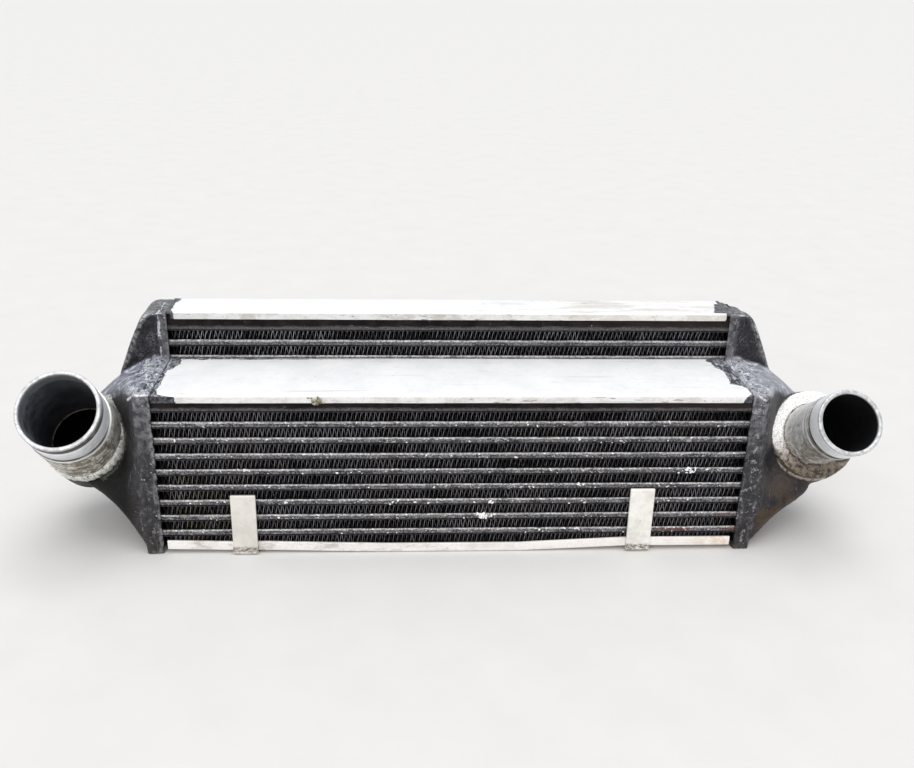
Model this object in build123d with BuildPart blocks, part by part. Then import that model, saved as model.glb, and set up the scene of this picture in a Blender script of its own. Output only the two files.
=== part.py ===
from build123d import *
import math
import os

# Stepped bar-and-plate charge air cooler.
# Frame: X along the core, -Y towards the pipe side, +Z up.
# Origin: middle of the underside of the bottom plate, at the core's mid width and mid depth.
# All sizes in millimetres.

os.makedirs("parts", exist_ok=True)

# ---------------------------------------------------------------- driving dimensions
core_half = 260.0          # half of the finned width
stack_half = 268.0         # half of the whole stack, with the air passages' end bars
deep_front = -61.0         # front face of the deep lower core
core_back = 61.0           # back face, common to both cores
shallow_front = 25.0       # front face of the shallow upper core

sheet = 0.5                # parting sheet
row_pitch = 15.166         # one air row and one charge row
bar_outer = 6.4            # charge row over its two parting sheets
row2_top = 129.5           # top of the second charge row
lower_rows = 9
fin_height = row_pitch - bar_outer
side_sheet = 1.2           # side sheet under the lowest air row
bar_width = 8.0            # charge bars, front to back
lower_top = 152.6          # top of the deep core's stack
upper_b_top = 158.05       # top of the shallow core's lowest charge row
upper_top = 198.5          # top of the shallow core's stack

fin_period = 4.0           # cooling fin wave
fin_waves = 127
fin_gauge = 0.2
fin_run = fin_period * fin_waves

plate_gauge = 2.5
plate_lip_x = 256.0        # half length of the folded lips
plate_front = deep_front - plate_gauge
plate_back = core_back + plate_gauge
step_lip_low = 148.0
top_lip_low = 193.9
bottom_lip = 8.9

tank_wall = 4.0
rim_inner_x = 259.0        # where the tank's rim starts to wrap the stack
rim_outer_x = 275.0
rim_front = -64.0
rim_back = 64.5
rim_top = 200.4
rim_step_top = 155.6

strap_gauge = 3.0
strap_width = 22.0


def unit(v):
    n = math.sqrt(sum(c * c for c in v))
    return tuple(c / n for c in v)


def along(origin, direction, distance):
    return tuple(o + d * distance for o, d in zip(origin, direction))


# pipe axes: centre of the mouth, direction the pipe points, bore and length to the tank
left_mouth = (-328.8, -85.5, 151.4)
left_axis = unit((0.037, -0.760, 0.649))
left_bore = 31.0
left_length = 100.0
left_body_radius = 36.0    # outside of the spigot behind its hose band
left_neck = 37.0           # radius of the cast neck behind the spigot
left_elbow = 37.0          # radius of the rounded elbow behind the neck
left_elbow_back = 22.0     # from the end of the spigot to the elbow's centre
right_mouth = (339.6, -85.9, 139.4)
right_axis = unit((0.053, -0.836, 0.546))
right_bore = 25.0
right_length = 81.0
right_collar_radius = 41.0 # outside of the collar at the spigot's foot
right_neck = 40.5
right_elbow = 43.5
right_elbow_back = 15.0


# ---------------------------------------------------------------- shared outlines
def wave(length_start, waves, period, low, high, gauge, crest):
    """Closed outline of a corrugated sheet: flat crests and roots, straight legs."""
    inner = crest - gauge
    above, below = [], []
    for i in range(waves):
        x = length_start + i * period
        above += [(x + period / 4 - crest, high), (x + period / 4 + crest, high)]
        below += [(x + period / 4 - inner, high - gauge), (x + period / 4 + inner, high - gauge)]
        above += [(x + 3 * period / 4 - inner, low + gauge), (x + 3 * period / 4 + inner, low + gauge)]
        below += [(x + 3 * period / 4 - crest, low), (x + 3 * period / 4 + crest, low)]
    return above + below[::-1]


row_top = {k: row2_top - (k - 2) * row_pitch for k in range(2, lower_rows + 1)}
fin_low = {k: row2_top - (k - 1) * row_pitch for k in range(1, lower_rows + 1)}

# charge rows: (bar bottom, bar top, front face)
charge_rows = {"lower_1": (fin_low[1] + fin_height + sheet, lower_top - sheet, deep_front)}
for k in range(2, lower_rows + 1):
    charge_rows[f"lower_{k}"] = (row_top[k] - bar_outer + sheet, row_top[k] - sheet, deep_front)
upper_a_top = upper_b_top + row_pitch
charge_rows["upper_1"] = (upper_a_top + fin_height + sheet, upper_top - sheet, shallow_front)
charge_rows["upper_2"] = (upper_a_top - bar_outer + sheet, upper_a_top - sheet, shallow_front)
charge_rows["upper_3"] = (lower_top, upper_b_top - sheet, shallow_front)

# air rows: (bottom, top, front face)
air_rows = {f"lower_{k}": (fin_low[k], fin_low[k] + fin_height, deep_front) for k in range(1, lower_rows + 1)}
air_rows["upper_1"] = (upper_a_top, upper_a_top + fin_height, shallow_front)
air_rows["upper_2"] = (upper_b_top, upper_a_top - bar_outer, shallow_front)

# ---------------------------------------------------------------- cooling fins, one folded sheet a row
for row, (low, high, front) in air_rows.items():
    with BuildPart() as air_fin:
        with BuildSketch(Plane.XZ.offset(-core_back)):
            with BuildLine():
                Polyline(*wave(-fin_run / 2, fin_waves, fin_period, low, high, fin_gauge, 0.6), close=True)
            make_face()
        extrude(amount=core_back - front)
    air_fin.part.label = f"air_fin_{row}"
    export_step(air_fin.part, f"parts/air_fin_{row}.step")

# ---------------------------------------------------------------- charge rows: bars and inner fins
for row, (low, high, front) in charge_rows.items():
    with BuildPart() as charge_bars:
        with BuildSketch(Plane.XY.offset(low)):
            with Locations((0, front + bar_width / 2), (0, core_back - bar_width / 2)):
                Rectangle(2 * stack_half, bar_width)
        extrude(amount=high - low)
    charge_bars.part.label = f"charge_bars_{row}"
    export_step(charge_bars.part, f"parts/charge_bars_{row}.step")

    inner_front = front + bar_width
    inner_depth = core_back - bar_width - inner_front
    waves = int(inner_depth // 5.0)
    start = inner_front + (inner_depth - waves * 5.0) / 2
    with BuildPart() as turbulator:
        with BuildSketch(Plane.YZ.offset(-stack_half)):
            with BuildLine():
                Polyline(*wave(start, waves, 5.0, low, high, 0.3, 0.8), close=True)
            make_face()
        extrude(amount=2 * stack_half)
    turbulator.part.label = f"charge_turbulator_{row}"
    export_step(turbulator.part, f"parts/charge_turbulator_{row}.step")

# ---------------------------------------------------------------- parting sheets
with BuildPart() as lower_parting_sheets:
    levels = [lower_top - sheet, fin_low[1] + fin_height]
    for k in range(2, lower_rows + 1):
        levels += [row_top[k] - sheet, row_top[k] - bar_outer]
    for z in levels:
        with BuildSketch(Plane.XY.offset(z)):
            with Locations((0, (deep_front + core_back) / 2)):
                Rectangle(2 * stack_half, core_back - deep_front)
        extrude(amount=sheet)
lower_parting_sheets.part.label = "lower_parting_sheets"
export_step(lower_parting_sheets.part, "parts/lower_parting_sheets.step")

with BuildPart() as upper_parting_sheets:
    for z in (upper_b_top - sheet, upper_a_top - bar_outer, upper_a_top - sheet,
              upper_a_top + fin_height, upper_top - sheet):
        with BuildSketch(Plane.XY.offset(z)):
            with Locations((0, (shallow_front + core_back) / 2)):
                Rectangle(2 * stack_half, core_back - shallow_front)
        extrude(amount=sheet)
upper_parting_sheets.part.label = "upper_parting_sheets"
export_step(upper_parting_sheets.part, "parts/upper_parting_sheets.step")

with BuildPart() as bottom_side_sheet:
    with BuildSketch(Plane.XY.offset(fin_low[lower_rows] - side_sheet)):
        Rectangle(2 * stack_half, core_back - deep_front)
    extrude(amount=side_sheet)
bottom_side_sheet.part.label = "bottom_side_sheet"
export_step(bottom_side_sheet.part, "parts/bottom_side_sheet.step")

# ---------------------------------------------------------------- end bars that close the air rows
for side, name in ((-1, "left"), (1, "right")):
    with BuildPart() as air_end_bars:
        for low, high, front in air_rows.values():
            with BuildSketch(Plane.XY.offset(low)):
                with Locations((side * (core_half + stack_half) / 2, (front + core_back) / 2)):
                    Rectangle(stack_half - core_half, core_back - front)
            extrude(amount=high - low)
    air_end_bars.part.label = f"{name}_air_end_bars"
    export_step(air_end_bars.part, f"parts/{name}_air_end_bars.step")

# ---------------------------------------------------------------- folded cover plates
with BuildPart() as top_plate:
    with BuildSketch(Plane.YZ.offset(-plate_lip_x)):
        with BuildLine():
            Polyline(
                (shallow_front - plate_gauge, top_lip_low), (shallow_front, top_lip_low),
                (shallow_front, upper_top), (core_back, upper_top),
                (core_back, top_lip_low), (plate_back, top_lip_low),
                (plate_back, upper_top + plate_gauge), (shallow_front - plate_gauge, upper_top + plate_gauge),
                close=True)
        make_face()
    extrude(amount=2 * plate_lip_x)
    fillet(top_plate.edges().filter_by(Axis.X).group_by(Axis.Z)[-1], 1.2)
top_plate.part.label = "top_plate"
export_step(top_plate.part, "parts/top_plate.step")

with BuildPart() as step_plate:
    with BuildSketch(Plane.YZ.offset(-rim_inner_x)):
        with BuildLine():
            Polyline(
                (plate_front, step_lip_low), (deep_front, step_lip_low),
                (deep_front, lower_top), (shallow_front, lower_top),
                (shallow_front, lower_top + plate_gauge), (plate_front, lower_top + plate_gauge),
                close=True)
        make_face()
    extrude(amount=2 * rim_inner_x)
    fillet(step_plate.edges().filter_by(Axis.X).filter_by(
        lambda e: e.center().Z > lower_top + 2 and e.center().Y < 0), 1.2)
    # the lip is shorter than the plate: its ends stop short of the tank rims
    with BuildSketch(Plane.XZ.offset(-deep_front)):
        with Locations((rim_inner_x - 1.5, lower_top - 5), (-rim_inner_x + 1.5, lower_top - 5)):
            Rectangle(3, 10 + 2 * plate_gauge)
    extrude(amount=plate_gauge, mode=Mode.SUBTRACT)
step_plate.part.label = "step_plate"
export_step(step_plate.part, "parts/step_plate.step")


def bowed_line(rise):
    """Underside of the bottom plate, bowed down between the two straps, raised by rise."""
    Spline((-256, 4.47 + rise), (-228, 4.1 + rise), (-198, 3.2 + rise), tangents=((1, 0), (1, 0)))
    Line((-198, 3.2 + rise), (-175, 3.2 + rise))
    Spline((-175, 3.2 + rise), (-120, 1.5 + rise), (-60, 0 + rise), tangents=((1, 0), (1, 0)))
    Line((-60, rise), (60, rise))
    Spline((60, rise), (112, 1.7 + rise), (158, 4.47 + rise), tangents=((1, 0), (1, 0)))
    Line((158, 4.47 + rise), (256, 4.47 + rise))


with BuildPart() as bottom_plate:
    with BuildSketch(Plane.XZ.offset(-plate_back)):
        with BuildLine():
            bowed_line(0)
            bowed_line(plate_gauge)
            Line((-256, 4.47), (-256, 4.47 + plate_gauge))
            Line((256, 4.47), (256, 4.47 + plate_gauge))
        make_face()
    extrude(amount=plate_back - plate_front)
    for plane in (Plane.XZ.offset(-plate_back), Plane.XZ.offset(-deep_front)):
        with BuildSketch(plane):
            with BuildLine():
                bowed_line(0)
                bowed_line(bottom_lip)
                Line((-256, 4.47), (-256, 4.47 + bottom_lip))
                Line((256, 4.47), (256, 4.47 + bottom_lip))
            make_face()
        extrude(amount=plate_gauge)
bottom_plate.part.label = "bottom_plate"
export_step(bottom_plate.part, "parts/bottom_plate.step")

# ---------------------------------------------------------------- strap tabs, L-shaped, under the bottom plate
for name, centre_x, foot_top, strap_top in (("left_strap_tab", -186.5, 3.2, 60.0),
                                             ("right_strap_tab", 170.0, 4.47, 64.7)):
    with BuildPart() as strap_tab:
        with BuildSketch(Plane.YZ.offset(centre_x - strap_width / 2)):
            with BuildLine():
                Polyline(
                    (plate_front, foot_top), (plate_front, strap_top),
                    (plate_front - strap_gauge, strap_top), (plate_front - strap_gauge, foot_top - strap_gauge),
                    (plate_front + 22, foot_top - strap_gauge), (plate_front + 22, foot_top),
                    close=True)
            make_face()
        extrude(amount=strap_width)
        fillet(strap_tab.edges().filter_by(Axis.X).filter_by(
            lambda e: e.center().Y < plate_front - 1 and e.center().Z < foot_top), 2.0)
    strap_tab.part.label = name
    export_step(strap_tab.part, f"parts/{name}.step")

stack_low = fin_low[lower_rows] - side_sheet      # underside of the stack

# ---------------------------------------------------------------- end tanks, cast shells
# lower funnel: sections across X, each (distance from the middle, corner radius, corners as (y, z) from the
# lower front corner up the front wall, over the top and down the back wall)
funnel = {
    "left": (
        (274.0, 8.0, ((-62, 2), (-62, 45), (-62, 100), (-62, 154), (62.5, 154), (62.5, 2))),
        (284.0, 11.0, ((-60, 18), (-59, 49), (-47, 98), (-44, 151), (60, 151), (60, 13))),
        (295.0, 14.0, ((-55, 34), (-52, 54), (-27, 98), (-26, 146), (58, 145), (58, 25))),
        (310.0, 15.0, ((-45, 45), (-42, 60), (-15, 98), (-11, 135), (52, 134), (52, 34))),
        (330.0, 15.0, ((-30, 51), (-28, 62), (-7, 95), (-2, 118), (42, 117), (42, 44))),
    ),
    "right": (
        (274.0, 8.0, ((-62, 2), (-62, 45), (-62, 100), (-62, 154), (62.5, 154), (62.5, 2))),
        (286.0, 11.0, ((-60, 14), (-59, 47), (-47, 98), (-44, 151), (60, 151), (60, 11))),
        (299.0, 14.0, ((-55, 26), (-52, 49), (-25, 98), (-24, 146), (58, 146), (58, 22))),
        (317.0, 15.0, ((-46, 35), (-42, 52), (-14, 98), (-10, 134), (52, 134), (52, 30))),
        (338.0, 15.0, ((-31, 44), (-28, 57), (-7, 95), (-2, 116), (42, 116), (42, 40))),
    ),
}


def rounded_section(corners, radius, inset):
    """Points round a polygon with rounded corners, the same number for every section."""
    middle = (sum(c[0] for c in corners) / len(corners), sum(c[1] for c in corners) / len(corners))
    pts = [(c[0] - math.copysign(inset, c[0] - middle[0]), c[1]) for c in corners]
    pts = [(p[0], p[1] + inset) if i in (0, len(pts) - 1) else (p[0], p[1] - inset) if i in (3, 4) else p
           for i, p in enumerate(pts)]
    out = []
    n = len(pts)
    for i in range(n):
        p, a, b = pts[i], pts[i - 1], pts[(i + 1) % n]
        ua = unit((a[0] - p[0], a[1] - p[1]))
        ub = unit((b[0] - p[0], b[1] - p[1]))
        reach = min(radius, 0.42 * math.dist(p, a), 0.42 * math.dist(p, b))
        start = (p[0] + ua[0] * reach, p[1] + ua[1] * reach)
        end = (p[0] + ub[0] * reach, p[1] + ub[1] * reach)
        for t in (0, 0.25, 0.5, 0.75, 1):
            out.append(tuple((1 - t) ** 2 * s + 2 * t * (1 - t) * q + t * t * e for s, q, e in zip(start, p, end)))
        reach_b = min(radius, 0.42 * math.dist(b, p), 0.42 * math.dist(b, pts[(i + 2) % n]))
        nxt = (b[0] - ub[0] * reach_b, b[1] - ub[1] * reach_b)
        for t in (0.33, 0.67):
            out.append(tuple(e + (f - e) * t for e, f in zip(end, nxt)))
    return out


def upper_outline(side, inset):
    """Front view of the tank's upper part, out from the stack's end."""
    s = side
    Polyline((s * (rim_outer_x - 6), 120 + inset), (s * (rim_outer_x - 6), rim_top - inset),
             (s * (272 - inset * 0.4), rim_top - inset))
    Spline((s * (272 - inset * 0.4), rim_top - inset), (s * (284 - inset * 0.8), 193 - inset * 0.7),
           (s * (290 - inset), 181), (s * (307 - inset), 140), tangents=((s, 0), (s * 0.4, -1)))
    Polyline((s * (307 - inset), 140), (s * (300 - inset), 120 + inset), (s * (rim_outer_x - 6), 120 + inset))


for side, name, mouth, axis, bore, length, spigot_radius, neck_radius, elbow_radius, elbow_back, elbow_rise in (
        (-1, "left", left_mouth, left_axis, left_bore, left_length, left_body_radius,
         left_neck, left_elbow, left_elbow_back, 0),
        (1, "right", right_mouth, right_axis, right_bore, right_length, right_collar_radius,
         right_neck, right_elbow, right_elbow_back, 20)):
    seat = along(mouth, axis, -length)            # end face of the neck, where the spigot is welded
    elbow = along(seat, axis, -elbow_back)        # centre of the rounded elbow behind the neck
    with BuildPart() as end_tank:
        # stepped rim around the end of the stack
        with BuildSketch(Plane.YZ.offset(side * rim_inner_x)):
            with BuildLine():
                Polyline((rim_front, 0), (rim_back, 0), (rim_back, rim_top), (shallow_front - 3, rim_top),
                         (shallow_front - 3, rim_step_top), (rim_front, rim_step_top), close=True)
            make_face()
        extrude(amount=side * (rim_outer_x - rim_inner_x))
        fillet(end_tank.edges().filter_by(Axis.X).filter_by(lambda e: e.center().Z > 10), 2.5)
        # upper part
        with BuildSketch(Plane.XZ.offset(-rim_back + 1)):
            with BuildLine():
                upper_outline(side, 0)
            make_face()
        extrude(amount=rim_back - 1 - (shallow_front - 2))
        # lower funnel
        for x, corner, corners in funnel[name]:
            with BuildSketch(Plane.YZ.offset(side * x)):
                with BuildLine():
                    Spline(*rounded_section(corners, corner, 0), periodic=True)
                make_face()
        loft()
        # elbow and neck
        with BuildSketch(Plane(origin=seat, z_dir=axis)):
            Circle(neck_radius)
        extrude(amount=-elbow_back)
        with Locations(Plane(origin=elbow, z_dir=axis)):
            Sphere(elbow_radius, arc_size1=-90, arc_size2=elbow_rise, align=Align.NONE)

        # cavity: socket for the stack, then the chamber
        with BuildSketch(Plane.YZ.offset(side * rim_inner_x)):
            with BuildLine():
                Polyline((deep_front, stack_low), (core_back, stack_low), (core_back, upper_top),
                         (shallow_front, upper_top), (shallow_front, lower_top), (deep_front, lower_top), close=True)
            make_face()
        extrude(amount=side * (stack_half - rim_inner_x), mode=Mode.SUBTRACT)
        with BuildSketch(Plane.YZ.offset(side * stack_half)):
            with BuildLine():
                Polyline((deep_front + 2, stack_low + 2), (core_back - 2, stack_low + 2), (core_back - 2, upper_top - 2),
                         (shallow_front + 2, upper_top - 2), (shallow_front + 2, lower_top - 2),
                         (deep_front + 2, lower_top - 2), close=True)
            make_face()
        extrude(amount=side * (rim_outer_x - stack_half), mode=Mode.SUBTRACT)
        with BuildSketch(Plane.XZ.offset(-rim_back + 1 + tank_wall)):
            with BuildLine():
                upper_outline(side, tank_wall)
            make_face()
        extrude(amount=rim_back - 1 - (shallow_front - 2) - 2 * tank_wall, mode=Mode.SUBTRACT)
        for x, corner, corners in funnel[name]:
            with BuildSketch(Plane.YZ.offset(side * x)):
                with BuildLine():
                    Spline(*rounded_section(corners, corner - 1, tank_wall), periodic=True)
                make_face()
        loft(mode=Mode.SUBTRACT)
        with Locations(Plane(origin=elbow, z_dir=axis)):
            Sphere(elbow_radius - tank_wall, arc_size1=-90, arc_size2=0, align=Align.NONE, mode=Mode.SUBTRACT)
        with BuildSketch(Plane(origin=seat, z_dir=axis)):
            Circle(bore + 1)
        extrude(amount=-elbow_back, mode=Mode.SUBTRACT)
        # the spigot stands where the funnel's wall would pass in front of the neck
        with BuildSketch(Plane(origin=seat, z_dir=axis)):
            Circle(spigot_radius)
        extrude(amount=60, mode=Mode.SUBTRACT)
    end_tank.part.label = f"{name}_end_tank"
    export_step(end_tank.part, f"parts/{name}_end_tank.step")

# ---------------------------------------------------------------- machined spigots, turned and welded to the necks
def across(axis):
    """A unit vector square to the pipe's axis."""
    return unit((axis[1], -axis[0], 0.0))


with BuildPart() as left_spigot:
    # profile in (radius, distance back from the mouth)
    with BuildSketch(Plane(origin=left_mouth, x_dir=across(left_axis),
                           z_dir=Vector(*across(left_axis)).cross(Vector(*left_axis) * -1))):
        with BuildLine():
            Polyline((left_bore + 0.9, 0), (33.6, 0))
            ThreePointArc((33.6, 0), (34.37, 0.33), (34.7, 1.1))
            Polyline((34.7, 1.1), (34.7, 3.0), (33.3, 3.6), (33.3, 5.6), (34.8, 6.2), (34.8, 31.0), (34.2, 31.4),
                     (34.2, 32.4), (left_body_radius, 33.4), (left_body_radius, left_length), (left_bore, left_length),
                     (left_bore, 0.9), (left_bore + 0.9, 0))
        make_face()
    revolve(axis=Axis(left_mouth, left_axis))
left_spigot.part.label = "left_spigot"
export_step(left_spigot.part, "parts/left_spigot.step")

with BuildPart() as right_spigot:
    with BuildSketch(Plane(origin=right_mouth, x_dir=across(right_axis),
                           z_dir=Vector(*across(right_axis)).cross(Vector(*right_axis) * -1))):
        with BuildLine():
            Polyline((right_bore + 0.9, 0), (27.9, 0))
            ThreePointArc((27.9, 0), (28.74, 0.36), (29.1, 1.2))
            Polyline((29.1, 1.2), (29.1, 19.0), (27.7, 19.6), (27.7, 22.6), (29.1, 23.2), (29.1, 29.5), (28.4, 30.2),
                     (28.4, 71.2), (right_collar_radius - 1.2, 71.2), (right_collar_radius, 72.4),
                     (right_collar_radius, right_length), (right_bore, right_length),
                     (right_bore, 0.9), (right_bore + 0.9, 0))
        make_face()
    revolve(axis=Axis(right_mouth, right_axis))
right_spigot.part.label = "right_spigot"
export_step(right_spigot.part, "parts/right_spigot.step")
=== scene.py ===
import math
import random

import bmesh
import bpy
import numpy as np
from mathutils import Matrix, Vector, noise
from mathutils.bvhtree import BVHTree


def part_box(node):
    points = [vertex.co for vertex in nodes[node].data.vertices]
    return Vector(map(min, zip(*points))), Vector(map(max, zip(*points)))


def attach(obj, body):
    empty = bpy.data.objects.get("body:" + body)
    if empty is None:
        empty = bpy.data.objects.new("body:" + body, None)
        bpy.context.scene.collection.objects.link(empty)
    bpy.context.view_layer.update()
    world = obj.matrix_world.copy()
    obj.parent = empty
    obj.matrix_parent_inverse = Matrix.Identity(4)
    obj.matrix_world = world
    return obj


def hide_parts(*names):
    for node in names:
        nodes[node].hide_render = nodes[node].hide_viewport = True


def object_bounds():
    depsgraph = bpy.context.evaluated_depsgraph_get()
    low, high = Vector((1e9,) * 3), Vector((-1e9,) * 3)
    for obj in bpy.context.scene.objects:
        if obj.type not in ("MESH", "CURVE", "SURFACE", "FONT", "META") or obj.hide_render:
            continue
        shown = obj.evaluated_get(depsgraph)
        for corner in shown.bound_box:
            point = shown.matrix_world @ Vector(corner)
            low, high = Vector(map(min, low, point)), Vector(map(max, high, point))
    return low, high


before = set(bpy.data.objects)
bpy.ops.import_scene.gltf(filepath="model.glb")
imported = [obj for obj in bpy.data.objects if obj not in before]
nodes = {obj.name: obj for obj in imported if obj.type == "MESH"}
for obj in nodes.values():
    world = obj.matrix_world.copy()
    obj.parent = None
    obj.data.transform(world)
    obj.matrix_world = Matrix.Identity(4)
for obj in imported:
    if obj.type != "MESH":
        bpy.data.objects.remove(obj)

cad_low, cad_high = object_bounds()
scene = bpy.context.scene
MM = 0.001

# =====================================================================================================
# sizes of the construction, in millimetres, as in the CAD
# =====================================================================================================
STACK_HALF, CORE_HALF = 268.0, 260.0
DEEP_FRONT, CORE_BACK, SHALLOW_FRONT = -61.0, 61.0, 25.0
SHEET, PITCH, BAR_OUTER, ROW2_TOP = 0.5, 15.166, 6.4, 129.5
FIN_H = PITCH - BAR_OUTER
LOWER_TOP, UPPER_B_TOP, UPPER_TOP = 152.6, 158.05, 198.5
UPPER_A_TOP = UPPER_B_TOP + PITCH
FIN_LOW = {k: ROW2_TOP - (k - 1) * PITCH for k in range(1, 10)}
ROW_TOP = {k: ROW2_TOP - (k - 2) * PITCH for k in range(2, 10)}
AIR_ROWS = {f"lower_{k}": (FIN_LOW[k], FIN_LOW[k] + FIN_H, DEEP_FRONT) for k in range(1, 10)}
AIR_ROWS["upper_1"] = (UPPER_A_TOP, UPPER_A_TOP + FIN_H, SHALLOW_FRONT)
AIR_ROWS["upper_2"] = (UPPER_B_TOP, UPPER_A_TOP - BAR_OUTER, SHALLOW_FRONT)
CHARGE_ROWS = {"lower_1": (FIN_LOW[1] + FIN_H + SHEET, LOWER_TOP - SHEET, DEEP_FRONT)}
for k in range(2, 10):
    CHARGE_ROWS[f"lower_{k}"] = (ROW_TOP[k] - BAR_OUTER + SHEET, ROW_TOP[k] - SHEET, DEEP_FRONT)
CHARGE_ROWS["upper_1"] = (UPPER_A_TOP + FIN_H + SHEET, UPPER_TOP - SHEET, SHALLOW_FRONT)
CHARGE_ROWS["upper_2"] = (UPPER_A_TOP - BAR_OUTER + SHEET, UPPER_A_TOP - SHEET, SHALLOW_FRONT)
CHARGE_ROWS["upper_3"] = (LOWER_TOP, UPPER_B_TOP - SHEET, SHALLOW_FRONT)

LEFT_MOUTH, LEFT_AXIS = Vector((-328.8, -85.5, 151.4)), Vector((0.037, -0.760, 0.649)).normalized()
RIGHT_MOUTH, RIGHT_AXIS = Vector((339.6, -85.9, 139.4)), Vector((0.053, -0.836, 0.546)).normalized()


# =====================================================================================================
# helpers
# =====================================================================================================
def smoothstep(x, lo, hi):
    t = np.clip((np.asarray(x, float) - lo) / (hi - lo), 0, 1)
    return t * t * (3 - 2 * t)


def fbm(points, scale, octaves=3, seed=0.0):
    """Smooth noise at each point, about -1 to 1. scale is the size of its largest features in mm."""
    out = np.empty(len(points))
    for i, p in enumerate(points):
        q = Vector((p[0] / scale + seed, p[1] / scale - seed * 0.7, p[2] / scale + seed * 1.3))
        out[i] = noise.fractal(q, 1.0, 2.0, octaves)
    return out


def make_object(name, verts, faces, material, sharp=35.0, attributes=None, outward=True):
    """A mesh piece from points in mm."""
    mesh = bpy.data.meshes.new(name)
    co = np.asarray(verts, float) * MM
    mesh.from_pydata(co.tolist(), [], faces)
    mesh.validate()
    if outward:
        bm = bmesh.new()
        bm.from_mesh(mesh)
        bmesh.ops.recalc_face_normals(bm, faces=bm.faces)
        bm.to_mesh(mesh)
        bm.free()
    for key, values in (attributes or {}).items():
        layer = mesh.attributes.new(key, "FLOAT", "POINT")
        layer.data.foreach_set("value", np.asarray(values, np.float32))
    mesh.shade_smooth()
    mesh.set_sharp_from_angle(angle=math.radians(sharp))
    mesh.update()
    obj = bpy.data.objects.new(name, mesh)
    scene.collection.objects.link(obj)
    mesh.materials.append(material)
    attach(obj, "root")
    return obj


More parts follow.
